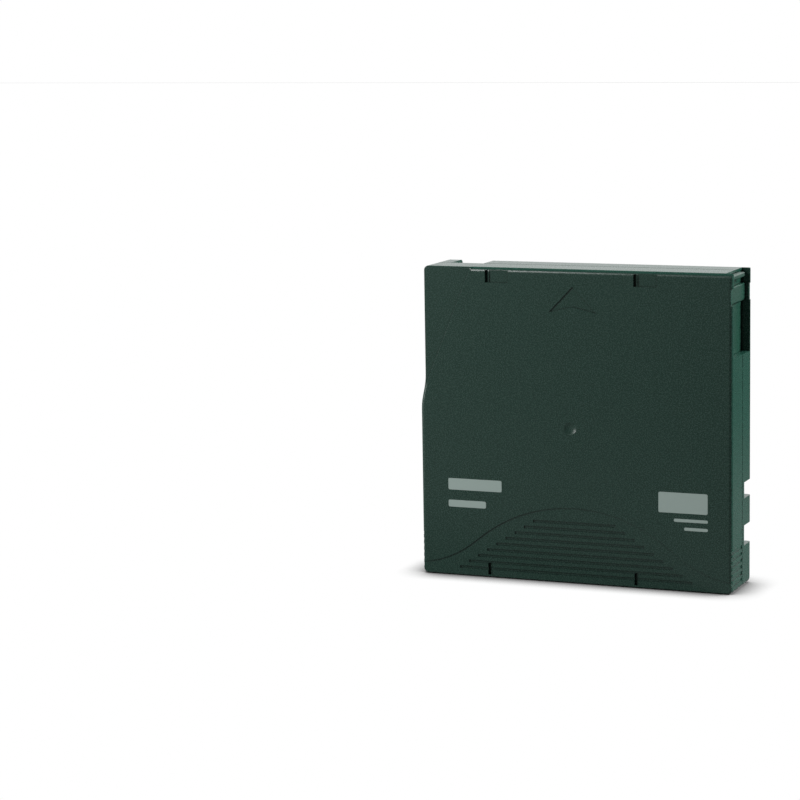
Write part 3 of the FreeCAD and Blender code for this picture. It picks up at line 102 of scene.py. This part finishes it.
class Graph:
    """The node tree of a material or of the room, with one way to add a node."""

    def __init__(self, owner: Material | bpy.types.World, shader: str = "Principled BSDF") -> None:
        """Take over the tree that a new material or world starts with.

        Args:
            owner: The material or world.
            shader: The name of the shader node that it starts with.
        """
        owner.use_nodes = True
        self.owner = owner
        self.tree = owner.node_tree
        self.shader = self.tree.nodes[shader]

    def add(self, kind: str, links: dict[str | int, Socket] | None = None,
            values: dict[str | int, object] | None = None, **settings: object) -> Node:
        """Add a node, set it up and link its inputs.

        Args:
            kind: The node's type.
            links: Outputs of other nodes by the input that takes them.
            values: Plain values by input.
            settings: Properties of the node itself.

        Returns:
            The new node.
        """
        node = self.tree.nodes.new(kind)
        for key, value in settings.items():
            setattr(node, key, value)
        for key, value in (values or {}).items():
            node.inputs[key].default_value = value
        for key, output in (links or {}).items():
            self.tree.links.new(output, node.inputs[key])
        return node

    def set(self, **values: object) -> None:
        """Set plain values on the shader; an underscore in a name stands for a space."""
        for key, value in values.items():
            self.shader.inputs[key.replace("_", " ")].default_value = value

    def feed(self, socket: str, output: Socket) -> None:
        """Link an output into one of the shader's inputs."""
        self.tree.links.new(output, self.shader.inputs[socket])


@dataclass(frozen=True)
class MouldedPlastic:
    """Injection-moulded thermoplastic with a spark-eroded grain.

    The eye sees a dark, slightly mottled colour, a fine even sparkle where the grain turns
    to the light, and a pale sheen at a shallow angle. Edges and ends are smoother.
    """

    name: str
    colour: str
    mottle: str
    lit_side_colour: str
    ior: float
    roughness: float
    # the real grain is about a tenth of a millimetre and wouldn't show, so it is drawn coarser
    grain: float = 0.36 * MM
    depth: float = 0.018 * MM
    smooth_depth: float = 0.25
    # how far the painted shade in grooves and inside corners looks for nearby surfaces, and how dark it
    # goes
    painted_shade_reach: float = 0.7 * MM
    darkest_painted_shade: float = 0.4
    glossier: float = 0.05
    duller: float = 0.07
    # levels of the noise between which the mottle sets in, and between which the gloss changes
    patches: Span = (0.36, 0.64)
    glints: Span = (0.3, 0.7)
    # how far a face looks along Y, between a side or end and a broad face
    broad: Span = (0.6, 0.9)
    # how open a spot lies, between the bottom of a groove and a plain face, for the painted shade
    painted_shade_levels: Span = (0.55, 1.0)

    def build(self) -> Material:
        """Make the material.

        Returns:
            The material.
        """
        graph = Graph(bpy.data.materials.new(self.name))
        graph.set(IOR=self.ior)
        place = graph.add("ShaderNodeTexCoord")
        scaled = graph.add("ShaderNodeMapping", {"Vector": place.outputs["Object"]},
                           {"Scale": per_length((self.grain,) * 3)})
        grain = graph.add("ShaderNodeTexNoise", {"Vector": scaled.outputs["Vector"]},
                          {"Scale": 1.0, "Detail": 2.0, "Roughness": 0.6})
        broad = self.broad_faces(graph, place.outputs["Normal"])
        patches = graph.add("ShaderNodeMapRange", {"Value": grain.outputs["Fac"]},
                            {"From Min": self.patches[0], "From Max": self.patches[1]})
        grained = graph.add("ShaderNodeMix", {0: patches.outputs["Result"]},
                            {6: linear(self.colour), 7: linear(self.mottle)}, data_type="RGBA")
        # painted light: the sides and ends take a lighter green than the broad faces, which stands in
        # for the brighter light on them
        colour_before_shade = graph.add("ShaderNodeMix", {0: broad, 7: grained.outputs[2]},
                          {6: linear(self.lit_side_colour)}, data_type="RGBA")
        graph.feed("Base Color", self.painted_crevice_shade(graph, colour_before_shade.outputs[2]))
        gloss = graph.add("ShaderNodeMapRange", {"Value": grain.outputs["Fac"]},
                          {"From Min": self.glints[0], "From Max": self.glints[1],
                           "To Min": self.roughness - self.glossier,
                           "To Max": self.roughness + self.duller})
        graph.feed("Roughness", gloss.outputs["Result"])
        strength = graph.add("ShaderNodeMapRange", {"Value": broad},
                             {"To Min": self.smooth_depth, "To Max": 1.0})
        bump = graph.add("ShaderNodeBump",
                         {"Height": grain.outputs["Fac"], "Strength": strength.outputs["Result"]},
                         {"Distance": self.depth})
        graph.feed("Normal", bump.outputs["Normal"])
        return graph.owner

    def broad_faces(self, graph: Graph, facing: Socket) -> Socket:
        """Tell the two broad faces, whose mould is spark-eroded, from the satin sides and ends.

        Args:
            graph: The material's graph.
            facing: The way that the surface faces, in the piece's own axes.

        Returns:
            One on the broad faces and nought on the sides and ends.
        """
        parts = graph.add("ShaderNodeSeparateXYZ", {"Vector": facing})
        level = graph.add("ShaderNodeMath", {0: parts.outputs["Y"]}, operation="ABSOLUTE")
        mask = graph.add("ShaderNodeMapRange", {"Value": level.outputs[0]},
                         {"From Min": self.broad[0], "From Max": self.broad[1]})
        return mask.outputs["Result"]

    def painted_crevice_shade(self, graph: Graph, colour: Socket) -> Socket:
        """Darken a colour in grooves and inside corners: painted shade where nearby surfaces block the
        light.

        Args:
            graph: The material's graph.
            colour: The colour without the painted shade.

        Returns:
            The colour with painted shade in its grooves and corners.
        """
        # painted shade: ambient occlusion darkens the base colour in grooves and inside corners
        hollow = graph.add("ShaderNodeAmbientOcclusion", values={"Distance": self.painted_shade_reach}, samples=4)
        share = graph.add("ShaderNodeMapRange", {"Value": hollow.outputs["AO"]},
                          {"From Min": self.painted_shade_levels[0], "From Max": self.painted_shade_levels[1],
                           "To Min": self.darkest_painted_shade, "To Max": 1.0})
        shaded_colour = graph.add("ShaderNodeVectorMath", {0: colour, 3: share.outputs["Result"]},
                         operation="SCALE")
        return shaded_colour.outputs["Vector"]


@dataclass(frozen=True)
class SmoothPlastic:
    """Moulded plastic from a plain satin mould, such as acetal or ABS, and what looks like it.

    The eye sees an even colour with a soft highlight and the faintest flow variation.
    """

    name: str
    colour: str
    ior: float = 1.49
    roughness: float = 0.38
    flow: float = 4 * MM
    ripple: float = 0.02 * MM
    ripple_strength: float = 0.4
    swing: float = 0.06

    def build(self) -> Material:
        """Make the material.

        Returns:
            The material.
        """
        graph = Graph(bpy.data.materials.new(self.name))
        graph.set(IOR=self.ior, Base_Color=linear(self.colour))
        place = graph.add("ShaderNodeTexCoord")
        scaled = graph.add("ShaderNodeMapping", {"Vector": place.outputs["Object"]},
                           {"Scale": per_length((self.flow,) * 3)})
        flow = graph.add("ShaderNodeTexNoise", {"Vector": scaled.outputs["Vector"]},
                         {"Scale": 1.0, "Detail": 3.0})
        gloss = graph.add("ShaderNodeMapRange", {"Value": flow.outputs["Fac"]},
                          {"To Min": self.roughness - self.swing,
                           "To Max": self.roughness + self.swing})
        graph.feed("Roughness", gloss.outputs["Result"])
        bump = graph.add("ShaderNodeBump", {"Height": flow.outputs["Fac"]},
                         {"Strength": self.ripple_strength, "Distance": self.ripple})
        graph.feed("Normal", bump.outputs["Normal"])
        return graph.owner


@dataclass(frozen=True)
class WoundTape:
    """Polyester tape wound edge to edge, black-brown and nearly as glossy as a mirror on its edges.

    The turns are too fine to see, so the rings are drawn every quarter of a millimetre.
    """

    name: str
    colour: str
    centre: Point
    ior: float = 1.6
    roughness: float = 0.25
    ring: float = 0.25 * MM
    ripple: float = 0.01 * MM
    ripple_strength: float = 0.5

    def build(self) -> Material:
        """Make the material.

        Returns:
            The material.
        """
        graph = Graph(bpy.data.materials.new(self.name))
        graph.set(IOR=self.ior, Base_Color=linear(self.colour), Roughness=self.roughness)
        place = graph.add("ShaderNodeTexCoord")
        flat = graph.add("ShaderNodeMapping", {"Vector": place.outputs["Object"]},
                         {"Location": tuple(-value for value in self.centre), "Scale": (1.0, 0.0, 1.0)})
        radius = graph.add("ShaderNodeVectorMath", {0: flat.outputs["Vector"]}, operation="LENGTH")
        turns = graph.add("ShaderNodeMath", {0: radius.outputs["Value"]}, {1: 1.0 / self.ring},
                          operation="MULTIPLY")
        wave = graph.add("ShaderNodeTexNoise", {"W": turns.outputs[0]}, {"Scale": 1.0, "Detail": 2.0},
                         noise_dimensions="1D")
        bump = graph.add("ShaderNodeBump", {"Height": wave.outputs["Fac"]},
                         {"Strength": self.ripple_strength, "Distance": self.ripple})
        graph.feed("Normal", bump.outputs["Normal"])
        return graph.owner


@dataclass(frozen=True)
class Steel:
    """Steel, drawn, turned, stamped or plated, with fine marks along its working direction.

    The eye sees a grey metal whose highlights are drawn out along the marks.
    """

    name: str
    colour: str
    roughness: float
    marks: tuple[float, float, float]
    glossier: float = 0.08
    duller: float = 0.1
    depth: float = 0.004 * MM
    mark_strength: float = 0.5

    def build(self) -> Material:
        """Make the material.

        Returns:
            The material.
        """
        graph = Graph(bpy.data.materials.new(self.name))
        graph.set(Metallic=1.0, Base_Color=linear(self.colour))
        place = graph.add("ShaderNodeTexCoord")
        scaled = graph.add("ShaderNodeMapping", {"Vector": place.outputs["Object"]},
                           {"Scale": per_length(self.marks)})
        marks = graph.add("ShaderNodeTexNoise", {"Vector": scaled.outputs["Vector"]},
                          {"Scale": 1.0, "Detail": 2.0})
        gloss = graph.add("ShaderNodeMapRange", {"Value": marks.outputs["Fac"]},
                          {"To Min": self.roughness - self.glossier,
                           "To Max": self.roughness + self.duller})
        graph.feed("Roughness", gloss.outputs["Result"])
        bump = graph.add("ShaderNodeBump", {"Height": marks.outputs["Fac"]},
                         {"Strength": self.mark_strength, "Distance": self.depth})
        graph.feed("Normal", bump.outputs["Normal"])
        return graph.owner


class Finishes:
    """Every finish of the cartridge, made once and handed out by name."""

    def __init__(self) -> None:
        """Build all the materials."""
        # dark green shells: grained broad faces, satin edges and a pale sheen at a low angle; the
        # lighter green on the sides and ends is painted light, and the darkening in grooves and corners
        # is painted shade
        self.case = MouldedPlastic("moulded_dark_green_polycarbonate", "1d352d", "2d483f", "1e453a",
                                   ior=1.5, roughness=0.25).build()
        # the same green on a slippery resin, a little darker and duller, with the same painted light on
        # its sides and ends and painted shade in its corners
        self.door = MouldedPlastic("moulded_green_acetal", "1a3028", "243d34", "1a4034",
                                   ior=1.5, roughness=0.3).build()
        # plain mid grey
        self.reel = SmoothPlastic("moulded_grey_polycarbonate", "8f958f").build()
        # off-white and waxy
        self.brake = SmoothPlastic("moulded_natural_acetal", "d9d7cc", 1.48, 0.42).build()
        # red with a soft shine
        self.slider = SmoothPlastic("moulded_red_abs", "a8322a", 1.54, 0.35).build()
        # black-brown, with fine rings round the reel's axis
        self.tape = WoundTape("wound_polyester_tape", "1a1614", self.reel_axis()).build()
        # light grey wire with fine drawing marks
        self.wire = Steel("drawn_spring_steel", "a3a4a6", 0.3, (0.05 * MM, 0.6 * MM, 0.05 * MM)).build()
        # bright, with rings round the pin
        self.turned = Steel("turned_stainless_steel", "b8b9bb", 0.2, (2 * MM, 0.06 * MM, 2 * MM)).build()
        # bright sheet with rolling marks across the case
        self.stamped = Steel("stamped_magnetic_steel", "97989a", 0.34,
                             (1.5 * MM, 0.1 * MM, 0.08 * MM)).build()
        # dark grey with an even, fine texture
        self.zinc = Steel("black_zinc_plated_steel", "6a6a6d", 0.34, (0.3 * MM,) * 3).build()
        # deep green lacquer
        self.board = SmoothPlastic("coated_epoxy_glass_board", "1f4a2c", 1.52, 0.3).build()
        # dull black resin
        self.chip = SmoothPlastic("moulded_epoxy", "17181a", 1.55, 0.5).build()
        # flat pale grey-green film
        self.ink = SmoothPlastic("pad_printed_grey_ink", "9fb0aa", 1.5, 0.55).build()

    def reel_axis(self) -> Point:
        """Find the reel's axis from the wound tape, which lies round it.

        Returns:
            The point at which the axis meets the frame's middle plane, in metres.
        """
        low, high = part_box("tape_pack")
        return ((low[0] + high[0]) / 2, 0.0, (low[2] + high[2]) / 2)


def give(names: Iterable[str], material: Material) -> None:
    """Put a material on CAD nodes.

    Args:
        names: The nodes.
        material: The material for all of them.
    """
    for name in names:
        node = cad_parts[name]
        node.data.materials.clear()
        node.data.materials.append(material)
        log.info("finished %s as %s", name, material.name)


def fresh() -> None:
    """Leave nothing selected and no mode open."""
    if bpy.context.object and bpy.context.object.mode != "OBJECT":
        bpy.ops.object.mode_set(mode="OBJECT")
    bpy.ops.object.select_all(action="DESELECT")


def settle(name: str, material: Material) -> Piece:
    """Put the active piece's place in its mesh, name it, dress it and let it ride on the case.

    Args:
        name: The piece's name.
        material: Its finish.

    Returns:
        The finished piece.
    """
    piece = bpy.context.object
    bpy.ops.object.transform_apply(location=True, rotation=True, scale=True)
    piece.name = name
    piece.data.name = name
    piece.data.materials.clear()
    piece.data.materials.append(material)
    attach(piece, "case")
    log.info("built %s: %d faces", name, len(piece.data.polygons))
    return piece


@dataclass
class Print:
    """Plain fields of pad-printed ink on the upper face, where such a case carries print."""

    thickness: float = 0.02 * MM
    rounding: float = 0.5 * MM
    rounding_steps: int = 5
    # the most of a field's height that a corner's radius may take
    rounding_share: float = 1 / 2.2
    # each field: its left, low, right and high edge, in millimetres from the case's left side
    # and rear end
    fields: tuple[tuple[float, float, float, float], ...] = (
        (9.4, 28.6, 28.0, 32.4),
        (9.4, 22.9, 22.5, 25.2),
        (81.2, 25.4, 97.4, 32.0),
        (86.3, 22.6, 97.5, 23.6),
        (89.7, 19.9, 97.5, 20.9),
    )

    def build(self, finishes: Finishes) -> None:
        """Model each field as a rounded film of ink on the face.

        Args:
            finishes: The finishes of the cartridge.
        """
        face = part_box("upper_shell")[0][1]
        side = CAD_BOX[0][0]
        rear = CAD_BOX[0][2]
        for number, (left, low, right, high) in enumerate(self.fields, start=1):
            fresh()
            width = (right - left) * MM
            height = (high - low) * MM
            centre = (side + (left + right) / 2 * MM, face, rear + (low + high) / 2 * MM)
            bpy.ops.mesh.primitive_plane_add(size=1, location=centre, rotation=(math.pi / 2, 0, 0))
            bpy.context.object.scale = (width, height, 1)
            bpy.ops.object.transform_apply(location=False, rotation=False, scale=True)
            bpy.ops.object.mode_set(mode="EDIT")
            bpy.ops.mesh.select_all(action="SELECT")
            radius = min(self.rounding, height * self.rounding_share)
            bpy.ops.mesh.bevel(offset=radius, segments=self.rounding_steps, affect="VERTICES")
            bpy.ops.mesh.select_all(action="SELECT")
            bpy.ops.mesh.extrude_region_move(TRANSFORM_OT_translate={"value": (0, -self.thickness, 0)})
            bpy.ops.mesh.select_all(action="SELECT")
            bpy.ops.mesh.normals_make_consistent(inside=False)
            bpy.ops.object.mode_set(mode="OBJECT")
            settle(f"print_field_{number}", finishes.ink)


@dataclass
class ScrewHeads:
    """Rounded heads with a cross recess, one on each screw at the bottom of its well."""

    radius: float = 2.2 * MM
    height: float = 0.3 * MM
    sunk: float = 0.03 * MM
    edge: float = 0.12 * MM
    edge_steps: int = 3
    arm_length: float = 2.5 * MM
    arm_width: float = 0.7 * MM
    sides: int = 48
    smooth_angle: float = math.radians(35)

    def build(self, finishes: Finishes) -> None:
        """Model one head and stand a copy of it on each screw.

        Args:
            finishes: The finishes of the cartridge.
        """
        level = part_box("case_screws")[1][1]
        pattern = self.head(self.cutter())
        for number, (across, along) in enumerate(self.axes(), start=1):
            fresh()
            copy = pattern.copy()
            copy.data = pattern.data.copy()
            bpy.context.collection.objects.link(copy)
            copy.location = (across, level, along)
            copy.rotation_euler = (-math.pi / 2, 0, 0)
            copy.select_set(True)
            bpy.context.view_layer.objects.active = copy
            settle(f"screw_head_{number}", finishes.zinc)
        bpy.data.objects.remove(pattern)

    def axes(self) -> list[tuple[float, float]]:
        """Find where the four screws stand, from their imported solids.

        Returns:
            Each screw's place across and along the case, the front pair first and the left
            one of each pair first.
        """
        low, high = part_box("case_screws")
        across = (low[0] + high[0]) / 2
        along = (low[2] + high[2]) / 2
        screws: dict[tuple[bool, bool], list[Vector]] = {}
        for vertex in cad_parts["case_screws"].data.vertices:
            corner = (vertex.co.z < along, vertex.co.x > across)
            screws.setdefault(corner, []).append(vertex.co)
        places = []
        for corner in sorted(screws):
            xs = [point.x for point in screws[corner]]
            zs = [point.z for point in screws[corner]]
            places.append(((min(xs) + max(xs)) / 2, (min(zs) + max(zs)) / 2))
        return places

    def cutter(self) -> Piece:
        """Model the two crossed bars that cut the recess.

        Returns:
            The bars, joined as one piece.
        """
        fresh()
        bars = []
        for turn in (0.0, math.pi / 2):
            bpy.ops.mesh.primitive_cube_add(size=1, rotation=(0, 0, turn), location=(0, 0, self.height))
            bars.append(bpy.context.object)
        for bar in bars:
            bar.scale = (self.arm_length, self.arm_width, 2 * self.height)
            bar.select_set(True)
        bpy.ops.object.join()
        bpy.ops.object.transform_apply(location=True, rotation=True, scale=True)
        return bpy.context.object

    def head(self, cutter: Piece) -> Piece:
        """Model one head, standing on the origin.

        Args:
            cutter: The bars that cut its recess; they are removed.

        Returns:
            The head.
        """
        fresh()
        bpy.ops.mesh.primitive_cylinder_add(vertices=self.sides, radius=self.radius, depth=self.height,
                                            location=(0, 0, self.height / 2 - self.sunk))
        head = bpy.context.object
        bpy.ops.object.transform_apply(location=True, rotation=False, scale=False)
        cut = head.modifiers.new("recess", "BOOLEAN")
        cut.object = cutter
        cut.solver = "EXACT"
        cut.use_self = True
        bpy.ops.object.modifier_apply(modifier=cut.name)
        rim = head.modifiers.new("rim", "BEVEL")
        rim.width = self.edge
        rim.segments = self.edge_steps
        rim.limit_method = "ANGLE"
        bpy.ops.object.modifier_apply(modifier=rim.name)
        bpy.ops.object.shade_smooth_by_angle(angle=self.smooth_angle)
        bpy.data.objects.remove(cutter)
        return head


@dataclass
class Case:
    """The two shells with the door, the slider, the screws and the print on the upper face."""

    ink: Print = field(default_factory=Print)
    heads: ScrewHeads = field(default_factory=ScrewHeads)

    def build(self, finishes: Finishes) -> None:
        """Finish the solids, print the face and put the heads on the screws.

        Args:
            finishes: The finishes of the cartridge.
        """
        give(("upper_shell", "lower_shell"), finishes.case)
        give(("access_door",), finishes.door)
        give(("write_protect_slider",), finishes.slider)
        give(("door_spring",), finishes.wire)
        give(("case_screws",), finishes.zinc)
        self.ink.build(finishes)
        self.heads.build(finishes)


class Reel:
    """The hub and flanges with the tape wound on them, the drive plate and the brake."""

    def build(self, finishes: Finishes) -> None:
        """Finish the solids.

        Args:
            finishes: The finishes of the cartridge.
        """
        give(("reel_hub", "upper_flange"), finishes.reel)
        give(("tape_pack",), finishes.tape)
        give(("drive_plate",), finishes.stamped)
        give(("brake_button", "release_pad"), finishes.brake)
        give(("brake_spring",), finishes.wire)


class LeaderPin:
    """The pin on the end of the tape, its clamp and the two springs that hold it."""

    def build(self, finishes: Finishes) -> None:
        """Finish the solids.

        Args:
            finishes: The finishes of the cartridge.
        """
        give(("leader_pin",), finishes.turned)
        give(("leader_pin_clamp",), finishes.brake)
        give(("tape_leader",), finishes.tape)
        give(("pin_spring_upper", "pin_spring_lower"), finishes.wire)


class Memory:
    """The small board that stands in the rear corner, with its chip."""

    def build(self, finishes: Finishes) -> None:
        """Finish the solids.

        Args:
            finishes: The finishes of the cartridge.
        """
        give(("memory_board",), finishes.board)
        give(("memory_chip",), finishes.chip)


@dataclass(frozen=True)
class Lamp:
    """A square soft lamp; its spread is the angle that its light fills, in degrees."""

    place: Point
    side: float
    power: float
    spread: float = 180.0

    def hang(self, name: str, aim: Point) -> None:
        """Hang the lamp.

        Args:
            name: Its name.
            aim: The point that it faces.
        """
        data = bpy.data.lights.new(name, "AREA")
        data.size = self.side
        data.energy = self.power
        data.spread = math.radians(self.spread)
        lamp = bpy.data.objects.new(name, data)
        bpy.context.collection.objects.link(lamp)
        turn = (Vector(aim) - Vector(self.place)).to_track_quat("-Z", "Y")
        lamp.matrix_world = Matrix.Translation(self.place) @ turn.to_matrix().to_4x4()
        log.info("hung %s", name)


@dataclass
class Studio:
    """Pale sheet for a floor, a white backdrop, a dim room and soft lamps.

    The camera sees the sheet as white away from the object's own contact shadow.
    """

    room_level: float = 0.12
    sheet_colour: str = "707070"
    sheet_roughness: float = 0.9
    sheet_width: float = 8.0
    backdrop_height: float = 2.4
    # how far from the cartridge its contact shadow reaches, and how open the floor lies there
    shadow_reach: float = 0.0105
    shadow_levels: Span = (0.45, 0.98)
    # how far from the cartridge glossy surfaces begin to see the floor as white
    white_from: float = 1.0
    aim: Point = (0.0, 0.0, 0.05)
    lamps: tuple[Lamp, ...] = (
        Lamp((-0.32, -0.36, 0.46), 0.22, 2.2),
        Lamp((-0.5, -0.35, 0.16), 0.25, 1.3),
        Lamp((0.66, 0.36, 0.5), 0.3, 0.66, spread=30.0),
    )

    def build(self) -> None:
        """Make the set."""
        self.sheet("floor", (self.sheet_width, self.sheet_width), (0, 0, 0), (0, 0, 0),
                   self.floor_paper())
        self.sheet("backdrop", (self.sheet_width, self.backdrop_height),
                   (0, self.sheet_width / 2, self.backdrop_height / 2), (math.pi / 2, 0, 0),
                   self.backdrop_paper())
        self.room()
        for number, lamp in enumerate(self.lamps, start=1):
            lamp.hang(f"lamp_{number}", self.aim)

    def floor_paper(self) -> Material:
        """Matt paper, white to the camera where nothing stands close, and to gloss far away.

        Returns:
            The material.
        """
        graph = self.paper("matt_floor_paper")
        seen = graph.add("ShaderNodeLightPath")
        open_sky = graph.add("ShaderNodeAmbientOcclusion", values={"Distance": self.shadow_reach},
                             samples=16)
        share = graph.add("ShaderNodeMapRange", {"Value": open_sky.outputs["AO"]},
                          {"From Min": self.shadow_levels[0], "From Max": self.shadow_levels[1]})
        near = graph.add("ShaderNodeMath",
                         {0: seen.outputs["Is Camera Ray"], 1: share.outputs["Result"]},
                         operation="MULTIPLY")
        place = graph.add("ShaderNodeTexCoord")
        away = graph.add("ShaderNodeVectorMath", {0: place.outputs["Object"]}, operation="LENGTH")
        open_floor = graph.add("ShaderNodeMapRange", {"Value": away.outputs["Value"]},
                               {"From Min": self.white_from, "From Max": 2 * self.white_from})
        far = graph.add("ShaderNodeMath",
                        {0: seen.outputs["Is Glossy Ray"], 1: open_floor.outputs["Result"]},
                        operation="MULTIPLY")
        amount = graph.add("ShaderNodeMath", {0: near.outputs[0], 1: far.outputs[0]},
                           operation="MAXIMUM")
        self.whiten(graph, amount.outputs[0])
        return graph.owner

    def backdrop_paper(self) -> Material:
        """Matt paper that the camera and glossy surfaces see as plain white.

        Returns:
            The material.
        """
        graph = self.paper("matt_backdrop_paper")
        seen = graph.add("ShaderNodeLightPath")
        amount = graph.add("ShaderNodeMath",
                           {0: seen.outputs["Is Camera Ray"], 1: seen.outputs["Is Glossy Ray"]},
                           operation="MAXIMUM")
        self.whiten(graph, amount.outputs[0])
        return graph.owner

    def paper(self, name: str) -> Graph:
        """Start a paper in the sheets' own grey.

        Args:
            name: The material's name.

        Returns:
            The material's graph.
        """
        graph = Graph(bpy.data.materials.new(name))
        graph.set(Base_Color=linear(self.sheet_colour), Roughness=self.sheet_roughness)
        return graph

    def whiten(self, graph: Graph, amount: Socket) -> None:
        """Mix a paper's shader with plain white.

        Args:
            graph: The paper's material.
            amount: How white it is seen, from 0 to 1.
        """
        glow = graph.add("ShaderNodeEmission")
        mix = graph.add("ShaderNodeMixShader",
                        {0: amount, 1: graph.shader.outputs[0], 2: glow.outputs[0]})
        surface = graph.tree.nodes["Material Output"].inputs["Surface"]
        graph.tree.links.new(mix.outputs[0], surface)

    def sheet(self, name: str, size: Span, place: Point, turn: Point, paper: Material) -> None:
        """Hang or lay a sheet of paper.

        Args:
            name: Its name.
            size: Its width and height.
            place: Its centre.
            turn: Its rotation.
            paper: Its material.
        """
        fresh()
        bpy.ops.mesh.primitive_plane_add(size=1, location=place, rotation=turn)
        sheet = bpy.context.object
        sheet.scale = (*size, 1)
        bpy.ops.object.transform_apply(location=True, rotation=True, scale=True)
        sheet.name = name
        sheet.data.materials.append(paper)
        log.info("laid %s", name)

    def room(self) -> None:
        """Fill the room with dim grey light, which only the camera sees as white."""
        world = bpy.data.worlds.new("room")
        bpy.context.scene.world = world
        graph = Graph(world, "Background")
        seen = graph.add("ShaderNodeLightPath")
        level = graph.add("ShaderNodeMapRange", {"Value": seen.outputs["Is Camera Ray"]},
                          {"To Min": self.room_level, "To Max": 1.0})
        graph.feed("Strength", level.outputs["Result"])
        graph.set(Color=(1, 1, 1, 1))


@dataclass
class Viewpoint:
    """The camera: where it stands, which way it looks and how long its lens is."""

    place: Point = (285.247 * MM, -825.229 * MM, 193.796 * MM)
    azimuth: float = 22.974
    elevation: float = 8.7625
    roll: float = -0.9393
    lens: float = 122.611
    sensor: float = 36.0
    nearest: float = 0.01
    farthest: float = 50.0

    def build(self) -> None:
        """Make the camera and hand it to the scene."""
        data = bpy.data.cameras.new("camera")
        data.lens = self.lens
        data.sensor_width = self.sensor
        data.clip_start = self.nearest
        data.clip_end = self.farthest
        camera = bpy.data.objects.new("camera", data)
        bpy.context.collection.objects.link(camera)
        turn = (Matrix.Rotation(math.radians(self.azimuth), 4, "Z")
                @ Matrix.Rotation(math.radians(90 - self.elevation), 4, "X")
                @ Matrix.Rotation(math.radians(self.roll), 4, "Z"))
        camera.matrix_world = Matrix.Translation(self.place) @ turn
        bpy.context.scene.camera = camera
        log.info("placed the camera")


def main() -> None:
    """Build the looks of the cartridge and its set."""
    logging.basicConfig(level=logging.INFO, format="%(message)s")
    bpy.context.scene.view_settings.view_transform = "Standard"
    finishes = Finishes()
    for assembly in (Case(), Reel(), LeaderPin(), Memory()):
        assembly.build(finishes)
    Studio().build()
    Viewpoint().build()


if __name__ == "__main__":
    main()
